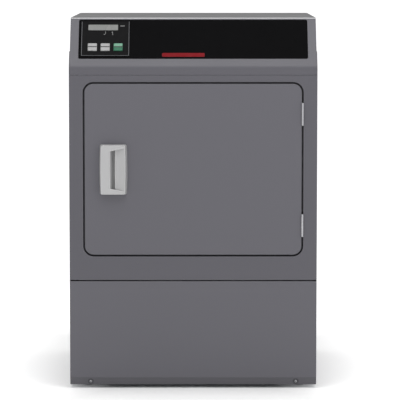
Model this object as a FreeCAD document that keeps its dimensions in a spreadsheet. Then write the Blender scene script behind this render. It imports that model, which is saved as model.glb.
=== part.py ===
import FreeCAD, Part
import math
import os
import re
import Sketcher
from FreeCAD import Placement, Rotation, Vector

# A front-loading, front-control clothes dryer with a tumbling drum, a swinging
# door, a pull-out lint filter, a belt drive, a blower and four levelling feet.
# Millimetres. X runs across, the front faces -Y, Z is up, and the floor is z = 0.

os.makedirs("parts", exist_ok=True)
doc = FreeCAD.newDocument("dryer")
sheet_of_sizes = doc.addObject("Spreadsheet::Sheet", "size")
set_of_places = doc.addObject("App::VarSet", "place")
SIZES = {}
PLACES = {}
NODES = {}


# ---------------------------------------------------------------- helpers

def sizes(**cells):
    """Write driving dimensions into the spreadsheet, one named cell each."""
    for name, value in cells.items():
        cell = "A%d" % (len(SIZES) + 1)
        sheet_of_sizes.set(cell, str(value))
        sheet_of_sizes.setAlias(cell, name)
        SIZES[name] = value


def formula(text):
    """A formula in bare names, as the document writes it: size.NAME or place.NAME."""
    def full_name(match):
        word = match.group(0)
        if word in SIZES:
            return "size." + word
        if word in PLACES:
            return "place." + word
        return word
    return re.sub(r"[a-z][a-z_0-9]*", full_name, str(text))


def places(**values):
    """Name values that follow from the driving dimensions."""
    for name, text in values.items():
        set_of_places.addProperty("App::PropertyFloat", name)
        set_of_places.setExpression(name, formula(text))
        PLACES[name] = text


def bind(thing, field, text):
    """Bind one property to a formula."""
    thing.setExpression(field, formula(text))


def node(thing, label):
    """Give a finished sub-part the name that its file will have."""
    thing.Label = label
    NODES[label] = thing
    return thing


def slab(name, x, y, z):
    """A box from three (low, high) pairs."""
    box = doc.addObject("Part::Box", name)
    for axis, length, (low, high) in zip("xyz", ("Length", "Width", "Height"), (x, y, z)):
        bind(box, "Placement.Base." + axis, low)
        bind(box, length, "(%s) - (%s)" % (high, low))
    return box


TURNS = {
    "x": Rotation(Vector(0, 1, 0), 90),
    "y": Rotation(Vector(1, 0, 0), -90),
    "z": Rotation(),
}


def aim(thing, along, centre, start):
    """Stand a cylinder or cone along one axis, its foot at start."""
    thing.Placement = Placement(Vector(), TURNS[along])
    across = [axis for axis in "xyz" if axis != along]
    for axis, text in zip(across, centre):
        bind(thing, "Placement.Base." + axis, text)
    bind(thing, "Placement.Base." + along, start)


def turn(thing, axis, angle):
    """Turn a part about an axis by a formula. The first angle only holds the axis."""
    thing.Placement = Placement(Vector(), Rotation(axis, 30))
    bind(thing, "Placement.Rotation.Angle", angle)
    return thing


def rod(name, along, centre, span, radius):
    """A cylinder along x, y or z. Centre gives the other two coordinates in order."""
    cylinder = doc.addObject("Part::Cylinder", name)
    aim(cylinder, along, centre, span[0])
    bind(cylinder, "Height", "(%s) - (%s)" % (span[1], span[0]))
    bind(cylinder, "Radius", radius)
    return cylinder


def cone(name, along, centre, span, radii):
    """A cone frustum from the first radius to the second."""
    frustum = doc.addObject("Part::Cone", name)
    aim(frustum, along, centre, span[0])
    bind(frustum, "Height", "(%s) - (%s)" % (span[1], span[0]))
    bind(frustum, "Radius1", radii[0])
    bind(frustum, "Radius2", radii[1])
    return frustum


def join(name, *things):
    """Several overlapping or touching solids made one."""
    fused = doc.addObject("Part::MultiFuse", name)
    fused.Shapes = list(things)
    fused.Refine = True
    return fused


def cut(name, base, *tools):
    """The base with every tool taken out of it."""
    tool = tools[0] if len(tools) == 1 else join(name + "_cutters", *tools)
    result = doc.addObject("Part::Cut", name)
    result.Base = base
    result.Tool = tool
    result.Refine = True
    return result


def tube(name, along, centre, span, outer, inner):
    """A round pipe."""
    return cut(name, rod(name + "_outside", along, centre, span, outer),
               rod(name + "_bore", along, centre, span, inner))


def outline(body, name, plane, points):
    """A closed polygon sketch on one of the body's own planes, each corner dimensioned."""
    sketch = body.newObject("Sketcher::SketchObject", name)
    support = [f for f in body.Origin.OriginFeatures if f.Role == plane + "_Plane"][0]
    sketch.AttachmentSupport = [(support, "")]
    sketch.MapMode = "FlatFace"
    count = len(points)
    corner = [Vector(math.cos(math.tau * i / count), math.sin(math.tau * i / count), 0)
              for i in range(count)]
    for i in range(count):
        sketch.addGeometry(Part.LineSegment(corner[i], corner[(i + 1) % count]), False)
    for i in range(count):
        sketch.addConstraint(Sketcher.Constraint("Coincident", i, 2, (i + 1) % count, 1))
    for i, pair in enumerate(points):
        for kind, text in zip(("DistanceX", "DistanceY"), pair):
            row = sketch.addConstraint(Sketcher.Constraint(kind, -1, 1, i, 1, 1.0))
            bind(sketch, "Constraints[%d]" % row, text)
    return sketch


def prism(name, plane, points, span):
    """A polygon in plane XY, XZ or YZ, padded between two values of the third axis."""
    body = doc.addObject("PartDesign::Body", name)
    sketch = outline(body, name + "_outline", plane, points)
    low, high = span
    start = "-(%s)" % high if plane == "XZ" else low
    bind(sketch, "AttachmentOffset.Base.z", start)
    pad = body.newObject("PartDesign::Pad", name + "_pad")
    pad.Profile = sketch
    bind(pad, "Length", "(%s) - (%s)" % (high, low))
    return body


def soften(body, wanted, radius):
    """Fillet the edges of a body that the wanted test picks."""
    doc.recompute()
    base = body.Tip
    picked = ["Edge%d" % (i + 1) for i, edge in enumerate(base.Shape.Edges) if wanted(edge)]
    fillet = body.newObject("PartDesign::Fillet", body.Name + "_fillet")
    fillet.Base = (base, picked)
    bind(fillet, "Radius", radius)
    body.Tip = fillet
    return body


def runs_along(axis):
    """A test for straight edges along one axis."""
    direction = {"x": Vector(1, 0, 0), "y": Vector(0, 1, 0), "z": Vector(0, 0, 1)}[axis]
    def test(edge):
        first, last = edge.Vertexes[0].Point, edge.Vertexes[-1].Point
        along = last.sub(first)
        return along.Length > 0 and along.cross(direction).Length < 1e-6 * along.Length
    return test


def pan(name, plane, first, second, span, radius):
    """A rectangle with round corners, padded. First and second are (low, high) pairs."""
    corners = [(first[0], second[0]), (first[1], second[0]),
               (first[1], second[1]), (first[0], second[1])]
    body = prism(name, plane, corners, span)
    axis = {"XY": "z", "XZ": "y", "YZ": "x"}[plane]
    return soften(body, runs_along(axis), radius)


def frame_of(name, plane, first, second, span, radius, wall):
    """A rounded rectangular ring whose inside is set in by the wall."""
    inner_first = ("(%s) + %s" % (first[0], wall), "(%s) - %s" % (first[1], wall))
    inner_second = ("(%s) + %s" % (second[0], wall), "(%s) - %s" % (second[1], wall))
    outside = pan(name + "_outside", plane, first, second, span, radius)
    inside = pan(name + "_inside", plane, inner_first, inner_second, span,
                 "%s - %s" % (radius, wall))
    return cut(name, outside, inside)


def turned(name, centre, points):
    """A profile of (y, radius) points turned about an axis along Y at centre (x, z)."""
    body = doc.addObject("PartDesign::Body", name)
    sketch = outline(body, name + "_profile", "YZ", points)
    bind(sketch, "AttachmentOffset.Base.z", centre[0])
    bind(sketch, "AttachmentOffset.Base.y", centre[1])
    turn = body.newObject("PartDesign::Revolution", name + "_turn")
    turn.Profile = sketch
    turn.ReferenceAxis = (sketch, ["H_Axis"])
    turn.Angle = 360
    return body


def mid(value, half):
    """A (low, high) pair about a middle."""
    return ("(%s) - (%s)" % (value, half), "(%s) + (%s)" % (value, half))


# ---------------------------------------------------------------- cabinet

sizes(
    cabinet_width=683,
    cabinet_depth=680,
    cabinet_height=1025,
    sheet=1.2,
    cut_past=3,
    foot_height=10,
    pull_proud=16,
    collar_length=15,
    band_top=31,
    band_back=6,
    lower_panel_top=299.5,
    panel_gap=3.5,
    trim_drop=156,
    trim_gap=0.8,
    side_step=1.6,
    rear_lap=25,
)
places(
    side="cabinet_width / 2",
    inner_side="side - sheet",
    front="pull_proud - (pull_proud + cabinet_depth + collar_length) / 2",
    back="front + cabinet_depth",
    rear_face="back - sheet",
    trim_low="cabinet_height - trim_drop",
    trim_end="side - side_step",
)

# The console leans back from a bend just above the front panel to a rounded nose.
sizes(
    console_rise=133.5,
    console_tilt=34.3,
    trim_wall=1.5,
    bend_radius=20,
    nose_radius=11,
    nose_lap=14,
    side_rise=41.5,
    skirt_lap=15,
)
places(
    lean="tan(console_tilt)",
    lean_wall="trim_wall / cos(console_tilt)",
    slope_foot="cabinet_height - console_rise",
    nose="front + console_rise * lean",
    nose_set="nose_radius * tan((90 - console_tilt) / 2)",
    bend_set="bend_radius * tan(console_tilt / 2)",
    trim_back="nose + nose_lap",
    side_top="slope_foot + side_rise",
    skirt_low="side_top - skirt_lap",
    slope_length="console_rise / cos(console_tilt)",
)


def behind_slope(height):
    """Y of the console trim's hidden face at a height."""
    return "front + (%s - slope_foot) * lean + lean_wall" % height


side_outline = [
    ("front + band_back + sheet", "foot_height"),
    ("front + sheet", "band_top"),
    ("front + sheet", "slope_foot - bend_set"),
    (behind_slope("(slope_foot + bend_set)"), "slope_foot + bend_set"),
    (behind_slope("side_top"), "side_top"),
    ("back", "side_top"),
    ("back", "foot_height"),
]
node(prism("side_left", "YZ", side_outline, ("-side", "-inner_side")), "left_side_panel")
node(prism("side_right", "YZ", side_outline, ("inner_side", "side")), "right_side_panel")

lower_outline = [
    ("front + band_back", "foot_height"),
    ("front + band_back + sheet", "foot_height"),
    ("front + sheet", "band_top"),
    ("front + sheet", "lower_panel_top"),
    ("front", "lower_panel_top"),
    ("front", "band_top"),
]
sizes(lower_return=15)
node(join("lower_whole",
          prism("lower_sheet", "YZ", lower_outline, ("-side", "side")),
          slab("lower_flange", mid("0", "inner_side"), ("front + sheet", "front + lower_return"),
               ("lower_panel_top - sheet", "lower_panel_top"))), "lower_access_panel")

# The base pan is a shallow tray with a hole for each levelling stud.
sizes(
    foot_in=46,
    foot_from_front=72,
    foot_from_back=62,
    stud_radius=5,
    stud_top=48,
    stud_room=0.4,
    foot_radius=16,
    foot_neck=10,
    foot_clear=1,
    pan_wall=30,
    pipe_radius=50.8,
    pipe_wall=0.8,
    pipe_swage=1.5,
    swage_long=2,
    pipe_room=1,
    pipe_in=40,
    pipe_axis=86,
)
pipe_centre = ("-pipe_in", "pipe_axis")
places(
    pan_front="front + band_back + sheet",
    foot_x="side - foot_in",
    foot_front_y="front + foot_from_front",
    foot_rear_y="back - foot_from_back",
)
FOOT_SPOTS = {
    "foot_front_left": ("-foot_x", "foot_front_y"),
    "foot_front_right": ("foot_x", "foot_front_y"),
    "foot_rear_left": ("-foot_x", "foot_rear_y"),
    "foot_rear_right": ("foot_x", "foot_rear_y"),
}
pan_inside = ("foot_height + sheet", "foot_height + pan_wall + sheet")
pan_solid = slab("pan_solid", mid("0", "inner_side"), ("pan_front", "rear_face"),
                 ("foot_height", "foot_height + pan_wall"))
pan_hollow = slab("pan_hollow", mid("0", "inner_side - sheet"),
                  ("pan_front + sheet", "rear_face - sheet"), pan_inside)
pan_holes = [rod(spot + "_hole", "z", centre, ("0", "pan_wall"), "stud_radius + stud_room")
             for spot, centre in FOOT_SPOTS.items()]
pan_pipe_way = rod("pan_pipe_way", "y", pipe_centre, ("rear_face - 2 * sheet", "back"),
                   "pipe_radius + pipe_room")
node(cut("pan", pan_solid, pan_hollow, pan_pipe_way, *pan_holes), "base_pan")
for spot, centre in FOOT_SPOTS.items():
    pad_part = cone(spot + "_pad", "z", centre, ("0", "foot_height - foot_clear"),
                    ("foot_radius", "foot_neck"))
    stud = rod(spot + "_stud", "z", centre, ("foot_height / 2", "stud_top"), "stud_radius")
    node(join(spot + "_whole", pad_part, stud), spot)

# The top is one sheet with a skirt down each side and a flange over the rear panel.
sizes(skirt_room=0.3)
skirt_outline = [
    ("rear_face", "skirt_low"),
    ("rear_face", "cabinet_height"),
    ("trim_back", "cabinet_height"),
    ("trim_back", "cabinet_height - trim_wall - skirt_room"),
    ("nose + nose_set", "cabinet_height - trim_wall - skirt_room"),
    (behind_slope("(cabinet_height - trim_wall - nose_set)") + " + skirt_room",
     "cabinet_height - trim_wall - nose_set"),
    (behind_slope("skirt_low") + " + skirt_room", "skirt_low"),
]
node(join("top_whole",
          slab("top_sheet", mid("0", "trim_end"), ("trim_back", "back"),
               ("cabinet_height - sheet", "cabinet_height")),
          prism("skirt_left", "YZ", skirt_outline, ("-trim_end", "sheet - trim_end")),
          prism("skirt_right", "YZ", skirt_outline, ("trim_end - sheet", "trim_end")),
          slab("top_flange", mid("0", "trim_end"), ("rear_face", "back"),
               ("cabinet_height - rear_lap", "cabinet_height"))), "top_panel")

# ---------------------------------------------------------------- console

sizes(
    fascia_width=632,
    fascia_low=27,
    fascia_set=7.1,
    fascia_corner=5,
    fascia_sink=0.3,
    fascia_wall=2,
    fascia_room=0.3,
)


places(fascia_high="slope_length - fascia_set")


def on_console(thing):
    """Lay a part that is drawn flat (x across, y up the slope, z outward) on the slope."""
    turn(thing, Vector(1, 0, 0), "90 - console_tilt")
    bind(thing, "Placement.Base.y", "front")
    bind(thing, "Placement.Base.z", "slope_foot")
    return thing


trim_outline = [
    ("front", "trim_low + trim_gap"),
    ("front", "slope_foot"),
    ("nose", "cabinet_height"),
    ("trim_back", "cabinet_height"),
    ("trim_back", "cabinet_height - trim_wall"),
    (behind_slope("(cabinet_height - trim_wall)"), "cabinet_height - trim_wall"),
    ("front + trim_wall", "slope_foot + (trim_wall - lean_wall) / lean"),
    ("front + trim_wall", "trim_low + trim_gap"),
]
trim_sheet = prism("trim_sheet", "YZ", trim_outline, ("-trim_end", "trim_end"))


def edges_at(*spots):
    """A test for edges along X that pass through one of some (y, z) spots."""
    along_x = runs_along("x")
    def test(edge):
        middle = edge.CenterOfMass
        near = any(math.hypot(middle.y - y, middle.z - z) < 0.05 for y, z in spots)
        return near and along_x(edge)
    return test


doc.recompute()
front_y = set_of_places.front
foot_z = set_of_places.slope_foot
wall = SIZES["trim_wall"]
lean_gap = set_of_places.lean_wall
lean_rate = set_of_places.lean
nose_inner = front_y + (SIZES["console_rise"] - wall) * lean_rate + lean_gap
soften(trim_sheet, edges_at((front_y, foot_z)), "bend_radius")
soften(trim_sheet, edges_at((front_y + wall, foot_z + (wall - lean_gap) / lean_rate)),
       "bend_radius - trim_wall")
soften(trim_sheet, edges_at((set_of_places.nose, SIZES["cabinet_height"])), "nose_radius")
soften(trim_sheet, edges_at((nose_inner, SIZES["cabinet_height"] - wall)),
       "nose_radius - trim_wall")
window = on_console(pan("trim_window", "XY", mid("0", "fascia_width / 2 + fascia_room"),
                        ("fascia_low - fascia_room", "fascia_high + fascia_room"),
                        ("-3 * trim_wall", "3 * trim_wall"), "fascia_corner + fascia_room"))
node(cut("trim_whole", trim_sheet, window), "console_trim")

# The control module sits at the left end of the black fascia, with three keys.
sizes(
    module_left=309,
    module_width=133,
    module_low=35.5,
    module_length=113,
    module_corner=3,
    module_rise=0.8,
    module_rim=2.2,
    rim_rise=0.6,
    display_left=290,
    display_width=82,
    display_low=119.5,
    display_height=18,
    display_rise=0.4,
    display_corner=1,
    key_width=25,
    key_height=24,
    key_low=52,
    key_first=278,
    key_pitch=35.5,
    key_rise=1.8,
    key_depth=6,
    key_room=0.5,
    key_corner=2,
)
places(
    fascia_face="-fascia_sink",
    module_face="module_rise - fascia_sink",
    module_x="-module_left",
    module_high="module_low + module_length",
    display_x="-display_left",
)
key_middles = ["key_pitch * %d - key_first" % i for i in range(3)]


def key_span(middle, room):
    """The (low, high) pair across one key."""
    return mid(middle, "key_width / 2 + " + room)


fascia_plate = pan("fascia_plate", "XY", mid("0", "fascia_width / 2"),
                   ("fascia_low", "fascia_high"),
                   ("fascia_face - fascia_wall", "fascia_face"), "fascia_corner")
key_holes = [slab("key_hole_%d" % i, key_span(middle, "key_room"),
                  ("key_low - key_room", "key_low + key_height + key_room"),
                  ("-2 * key_depth", "key_rise"))
             for i, middle in enumerate(key_middles)]
node(on_console(cut("fascia_whole", fascia_plate, *key_holes)), "console_fascia")

module_plate = pan("module_plate", "XY", ("module_x", "module_x + module_width"),
                   ("module_low", "module_high"), ("fascia_face", "module_face"),
                   "module_corner")
module_ring = frame_of("module_ring", "XY", ("module_x", "module_x + module_width"),
                       ("module_low", "module_high"),
                       ("fascia_face", "module_face + rim_rise"),
                       "module_corner", "module_rim")
key_wells = [slab("key_well_%d" % i, key_span(middle, "key_room"),
                  ("key_low - key_room", "key_low + key_height + key_room"),
                  ("-2 * key_depth", "2 * key_rise"))
             for i, middle in enumerate(key_middles)]
node(on_console(cut("module_whole", join("module_solid", module_plate, module_ring),
                    *key_wells)), "control_module")
node(on_console(pan("display", "XY", ("display_x", "display_x + display_width"),
                    ("display_low", "display_low + display_height"),
                    ("module_face", "module_face + display_rise"), "display_corner")),
     "display_window")
for i, middle in enumerate(key_middles):
    key = pan("key_solid_%d" % i, "XY", key_span(middle, "0"),
              ("key_low", "key_low + key_height"),
              ("key_rise - key_depth", "key_rise"), "key_corner")
    node(on_console(key), "key_%d" % (i + 1))

sizes(
    board_sink=14,
    board_wall=1.6,
    board_in=8,
    post_radius=3,
)
board_x = ("module_x + board_in", "module_x + module_width - board_in")
board_y = ("module_low + board_in", "module_high - board_in")
board_posts = [rod("board_post_%d%d" % (i, j), "z",
                   ("module_x + board_in + post_radius * 2" if i == 0
                    else "module_x + module_width - board_in - post_radius * 2",
                    "module_low + board_in + post_radius * 2" if j == 0
                    else "module_high - board_in - post_radius * 2"),
                   ("-board_sink", "fascia_face - fascia_wall"), "post_radius")
               for i in range(2) for j in range(2)]
board_plate = slab("board_plate", board_x, board_y, ("-board_sink - board_wall", "-board_sink"))
node(on_console(join("board_whole", board_plate, *board_posts)), "control_board")

# ---------------------------------------------------------------- front and door

sizes(
    door_width=597,
    door_height=472,
    door_gap=5.2,
    door_corner=24,
    door_depth=22,
    door_middle=609.5,
    recess_depth=24,
    ledge_side=48.5,
    ledge_end=41,
    throat_corner=60,
)
places(
    door_half="door_width / 2",
    door_low="door_middle - door_height / 2",
    door_high="door_middle + door_height / 2",
    opening_half="door_half + door_gap",
    opening_low="door_low - door_gap",
    opening_high="door_high + door_gap",
    opening_corner="door_corner + door_gap",
    ledge="front + recess_depth",
    ledge_back="ledge + sheet",
    throat_half="door_half - ledge_side",
    throat_low="door_low + ledge_end",
    throat_high="door_high - ledge_end",
    front_low="lower_panel_top + panel_gap",
)

sizes(
    catch_slot=14,
    catch_slot_tall=34,
    catch_set=4,
    strike_wide=8,
    strike_tall=26,
    strike_reach=14,
    switch_up=112,
    plunger_radius=3,
    plunger_room=0.4,
    gasket_wide=12,
    gasket_out=10,
    gasket_room=0.3,
)
places(
    catch_x="throat_half + gasket_out + gasket_wide + catch_set + catch_slot / 2",
    strike_left="-catch_x - strike_wide / 2",
    switch_z="door_middle + switch_up",
)
front_plate = slab("front_plate", mid("0", "side"), ("front", "front + sheet"),
                   ("front_low", "trim_low"))
recess_shell = pan("recess_shell", "XZ", mid("0", "opening_half + sheet"),
                   ("opening_low - sheet", "opening_high + sheet"),
                   ("front", "ledge_back"), "opening_corner + sheet")
recess_hollow = pan("recess_hollow", "XZ", mid("0", "opening_half"),
                    ("opening_low", "opening_high"),
                    ("front - recess_depth", "ledge"), "opening_corner")


def throat_hole(name, span):
    """The rounded way through which clothes go into the drum."""
    return pan(name, "XZ", mid("0", "throat_half"), ("throat_low", "throat_high"),
               span, "throat_corner")


catch_hole = slab("catch_hole", mid("-catch_x", "catch_slot / 2"),
                  ("front", "ledge_back + catch_slot"),
                  mid("door_middle", "catch_slot_tall / 2"))
switch_hole = rod("switch_hole", "y", ("-catch_x", "switch_z"),
                  ("front + door_depth", "ledge_back + sheet"), "plunger_radius + plunger_room")
node(cut("front_whole", join("front_solid", front_plate, recess_shell), recess_hollow,
         throat_hole("ledge_hole", ("front", "ledge_back + sheet")),
         catch_hole, switch_hole), "front_panel")

# Door: a pressed outer pan, a liner that bulges into the throat, a gasket and a pull.
sizes(
    door_sheet=1.2,
    bulge_reach=14,
    bulge_room=15,
    bulge_corner=50,
)
sizes(
    pull_width=72,
    pull_height=139,
    pull_in=78,
    pull_corner=2.5,
    pull_plate=32,
    pull_rim=4,
    pull_wall=2,
    pull_cup=14,
    pull_reach=19,
    pull_lip=6,
    pocket_in=12,
)
places(
    door_back="front + door_depth",
    liner_face="door_back - door_sheet",
    bulge_back="door_back + bulge_reach",
    bulge_half="throat_half - bulge_room",
    bulge_low="throat_low + bulge_room",
    bulge_high="throat_high - bulge_room",
    pull_low="door_middle - pull_height / 2",
    pull_high="door_middle + pull_height / 2",
    pull_front="front - pull_proud",
    pull_left="pull_in - door_half - pull_width / 2",
    pull_right="pull_left + pull_width",
    lip_edge="pull_left + pull_plate",
    pocket_deep="lip_edge - pull_reach",
    cup_back="front + pull_cup",
    cup_left="pocket_deep - pull_wall",
    pocket_floor="cup_back - pull_wall",
    ramp_foot="lip_edge + pull_lip",
    rim_edge="pull_right - pull_rim",
)
cup_z = ("pull_low + pocket_in - pull_wall", "pull_high - pocket_in + pull_wall")
places(
    cup_right="ramp_foot + pull_wall + (rim_edge - ramp_foot) * 0.45",
)
skin_solid = pan("skin_solid", "XZ", mid("0", "door_half"), ("door_low", "door_high"),
                 ("front", "door_back"), "door_corner")
skin_hollow = pan("skin_hollow", "XZ", mid("0", "door_half - door_sheet"),
                  ("door_low + door_sheet", "door_high - door_sheet"),
                  ("front + door_sheet", "door_back + door_sheet"), "door_corner - door_sheet")
skin_hole = slab("skin_hole", ("cup_left - gasket_room", "cup_right + gasket_room"),
                 ("front - sheet", "front + 2 * sheet"),
                 (cup_z[0] + " - gasket_room", cup_z[1] + " + gasket_room"))
node(cut("skin_whole", skin_solid, skin_hollow, skin_hole), "door_outer_panel")

liner_plate = pan("liner_plate", "XZ", mid("0", "door_half - door_sheet"),
                  ("door_low + door_sheet", "door_high - door_sheet"),
                  ("liner_face", "door_back"), "door_corner - door_sheet")
liner_bulge = pan("liner_bulge", "XZ", mid("0", "bulge_half"), ("bulge_low", "bulge_high"),
                  ("liner_face", "bulge_back"), "bulge_corner")
liner_hollow = pan("liner_hollow", "XZ", mid("0", "bulge_half - door_sheet"),
                   ("bulge_low + door_sheet", "bulge_high - door_sheet"),
                   ("liner_face - sheet", "bulge_back - door_sheet"),
                   "bulge_corner - door_sheet")
node(cut("liner_whole", join("liner_solid", liner_plate, liner_bulge), liner_hollow),
     "door_inner_liner")
node(frame_of("gasket_whole", "XZ", mid("0", "throat_half + gasket_out + gasket_wide"),
              ("throat_low - gasket_out - gasket_wide", "throat_high + gasket_out + gasket_wide"),
              ("door_back", "ledge - gasket_room"),
              "throat_corner", "gasket_wide"), "door_gasket")

pull_block = pan("pull_block", "XZ", ("pull_left", "pull_right"), ("pull_low", "pull_high"),
                 ("pull_front", "front"), "pull_corner")
pull_cup_solid = slab("pull_cup_solid", ("cup_left", "cup_right"), ("pull_front + sheet",
                      "cup_back"), cup_z)
pull_pocket = prism("pull_pocket", "XY", [
    ("rim_edge", "pull_front - sheet"),
    ("rim_edge", "pull_front + sheet"),
    ("ramp_foot", "pocket_floor"),
    ("pocket_deep", "pocket_floor"),
    ("pocket_deep", "pull_front + pull_lip"),
    ("lip_edge", "pull_front + pull_lip"),
    ("lip_edge", "pull_front - sheet"),
], ("pull_low + pocket_in", "pull_high - pocket_in"))
node(cut("pull_whole", join("pull_solid", pull_block, pull_cup_solid), pull_pocket),
     "door_pull")

# Two hinges, their knuckles proud of the gap beside the door, leaves inside the gap.
sizes(
    knuckle_radius=3.1,
    hinge_pin_radius=1.5,
    pin_room=0.05,
    hinge_proud=2.5,
    hinge_length=62.5,
    hinge_from_top=83.5,
    hinge_from_foot=81,
    leaf_wall=1,
    leaf_depth=20,
    knuckle_gap=0.4,
)
places(
    hinge_x="door_half + door_gap / 2",
    hinge_y="front - hinge_proud",
    hinge_upper="door_high - hinge_from_top",
    hinge_lower="door_low + hinge_from_foot",
    knuckle_half="hinge_length / 6",
)
for level in ("upper", "lower"):
    centre_z = "hinge_" + level
    axis_xy = ("hinge_x", "hinge_y")
    low_end = (centre_z + " - 3 * knuckle_half", centre_z + " - knuckle_half")
    high_end = (centre_z + " + knuckle_half", centre_z + " + 3 * knuckle_half")
    middle = mid(centre_z, "knuckle_half - knuckle_gap")
    whole = mid(centre_z, "3 * knuckle_half")
    frame_leaf = slab("frame_leaf_" + level, ("opening_half - leaf_wall", "opening_half"),
                      ("hinge_y", "front + leaf_depth"), whole)
    leaf_room = rod("leaf_room_" + level, "z", axis_xy,
                    mid(centre_z, "knuckle_half"), "knuckle_radius + knuckle_gap")
    frame_part = cut("frame_hinge_cut_" + level,
                     join("frame_hinge_solid_" + level, frame_leaf,
                          rod("knuckle_low_" + level, "z", axis_xy, low_end, "knuckle_radius"),
                          rod("knuckle_high_" + level, "z", axis_xy, high_end,
                              "knuckle_radius")), leaf_room)
    pin = rod("hinge_pin_" + level, "z", axis_xy, whole, "hinge_pin_radius")
    node(join("frame_hinge_whole_" + level, frame_part, pin), "frame_hinge_" + level)
    door_leaf = slab("door_leaf_" + level, ("door_half", "door_half + leaf_wall"),
                     ("hinge_y", "front + leaf_depth"), whole)
    end_rooms = [rod("end_room_%s_%d" % (level, i), "z", axis_xy, span,
                     "knuckle_radius + knuckle_gap")
                 for i, span in enumerate((
                     (low_end[0] + " - sheet", centre_z + " - knuckle_half + knuckle_gap"),
                     (centre_z + " + knuckle_half - knuckle_gap", high_end[1] + " + sheet")))]
    door_bore = rod("door_bore_" + level, "z", axis_xy, whole, "hinge_pin_radius + pin_room")
    trimmed = cut("door_leaf_cut_" + level, door_leaf, *end_rooms)
    node(cut("door_hinge_whole_" + level,
             join("door_hinge_solid_" + level, trimmed,
                  rod("door_knuckle_" + level, "z", axis_xy, middle, "knuckle_radius")),
             door_bore), "door_hinge_" + level)

# Catch and strike on the left, and a switch that feels the closed door.
sizes(
    catch_wall=2,
    catch_wide=24,
    catch_tall=44,
    catch_depth=26,
    catch_room=2,
    switch_wide=16,
    switch_tall=28,
    switch_depth=22,
    plunger_travel=3,
    plunger_flange=4.5,
)
node(slab("strike", ("strike_left", "strike_left + strike_wide"),
          ("door_back", "door_back + strike_reach"),
          mid("door_middle", "strike_tall / 2")), "door_strike")
node(cut("catch_whole",
         slab("catch_solid", mid("-catch_x", "catch_wide / 2"),
              ("ledge_back", "ledge_back + catch_depth"), mid("door_middle", "catch_tall / 2")),
         slab("catch_mouth", mid("-catch_x", "catch_slot / 2"),
              ("ledge_back - sheet", "door_back + strike_reach + catch_room"),
              mid("door_middle", "catch_slot_tall / 2"))), "door_catch")
places(
    plunger_back="ledge_back + switch_depth - plunger_travel - 2 * catch_wall",
)
switch_axis = ("-catch_x", "switch_z")
plunger_stem = rod("plunger_stem", "y", switch_axis,
                   ("door_back + gasket_room", "plunger_back"), "plunger_radius")
plunger_disc = rod("plunger_disc", "y", switch_axis,
                   ("plunger_back - catch_wall", "plunger_back"), "plunger_flange")
node(join("plunger_whole", plunger_stem, plunger_disc), "door_switch_plunger")
node(cut("switch_whole",
         slab("switch_solid", mid("-catch_x", "switch_wide / 2"),
              ("ledge_back", "ledge_back + switch_depth"), mid("switch_z", "switch_tall / 2")),
         rod("switch_bore", "y", switch_axis, ("ledge_back - sheet", "plunger_back"),
             "plunger_radius + plunger_room"),
         rod("switch_chamber", "y", switch_axis,
             ("plunger_back - 2 * catch_wall", "plunger_back + plunger_travel + plunger_room"),
             "plunger_flange + plunger_room")), "door_switch_body")

# ---------------------------------------------------------------- drum and bulkheads

sizes(
    drum_axis=600,
    drum_inner=325,
    drum_wall=1.2,
    drum_from_front=66,
    drum_rear_room=12,
    bead_rise=1.3,
    bead_wide=8,
    belt_wide=8,
    belt_room=3,
    belt_ahead=25,
    bulkhead_from_front=60,
    bulkhead_lap=8,
    rear_plate_from_back=46,
    rear_plate_under=15,
    collar_room=7,
    collar_depth=24,
    felt_room=0.3,
    felt_wide=14,
    felt_set=3,
    motor_x=150,
    motor_z=140,
    blower_radius=97,
    blower_from_front=62,
    blower_over=3,
)
places(
    drum_front="front + drum_from_front",
    rear_plate="back - rear_plate_from_back",
    drum_back="rear_plate - drum_rear_room",
    drum_outer="drum_inner + drum_wall",
    belt_y="(drum_front + drum_back) / 2 - belt_ahead",
    bulkhead="front + bulkhead_from_front",
    bulkhead_rear="bulkhead + sheet",
    bulkhead_high="skirt_low + bulkhead_lap",
    rear_plate_high="cabinet_height - rear_lap - rear_plate_under",
    collar_outer="drum_inner - collar_room",
    bulkhead_half="trim_end - sheet",
    bead_in="belt_wide / 2 + belt_room",
)
belt_low = "belt_y - bead_in"
belt_high = "belt_y + bead_in"
node(turned("drum", ("0", "drum_axis"), [
    ("drum_front", "drum_inner"),
    ("drum_back", "drum_inner"),
    ("drum_back", "drum_outer"),
    (belt_high + " + bead_wide", "drum_outer"),
    (belt_high + " + bead_wide / 2", "drum_outer + bead_rise"),
    (belt_high, "drum_outer"),
    (belt_low, "drum_outer"),
    (belt_low + " - bead_wide / 2", "drum_outer + bead_rise"),
    (belt_low + " - bead_wide", "drum_outer"),
    ("drum_front", "drum_outer"),
]), "drum_shell")

sizes(
    baffle_count=3,
    baffle_height=80,
    baffle_foot=70,
    baffle_tip=26,
    baffle_ends=36,
    baffle_first=90,
    baffle_wall=1.5,
)
places(
    baffle_top="drum_inner - baffle_height",
    baffle_front="drum_front + baffle_ends",
    baffle_back="drum_back - baffle_ends",
)


def baffle_block(name, inset):
    """The tapering block of one baffle, reaching past the drum's wall."""
    block = prism(name, "XZ", [
        ("%s - baffle_foot / 2" % inset, "drum_outer"),
        ("%s - baffle_tip / 2" % inset, "baffle_top + %s" % inset),
        ("baffle_tip / 2 - %s" % inset, "baffle_top + %s" % inset),
        ("baffle_foot / 2 - %s" % inset, "drum_outer"),
    ], ("baffle_front + %s" % inset, "baffle_back - %s" % inset))
    return block


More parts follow.
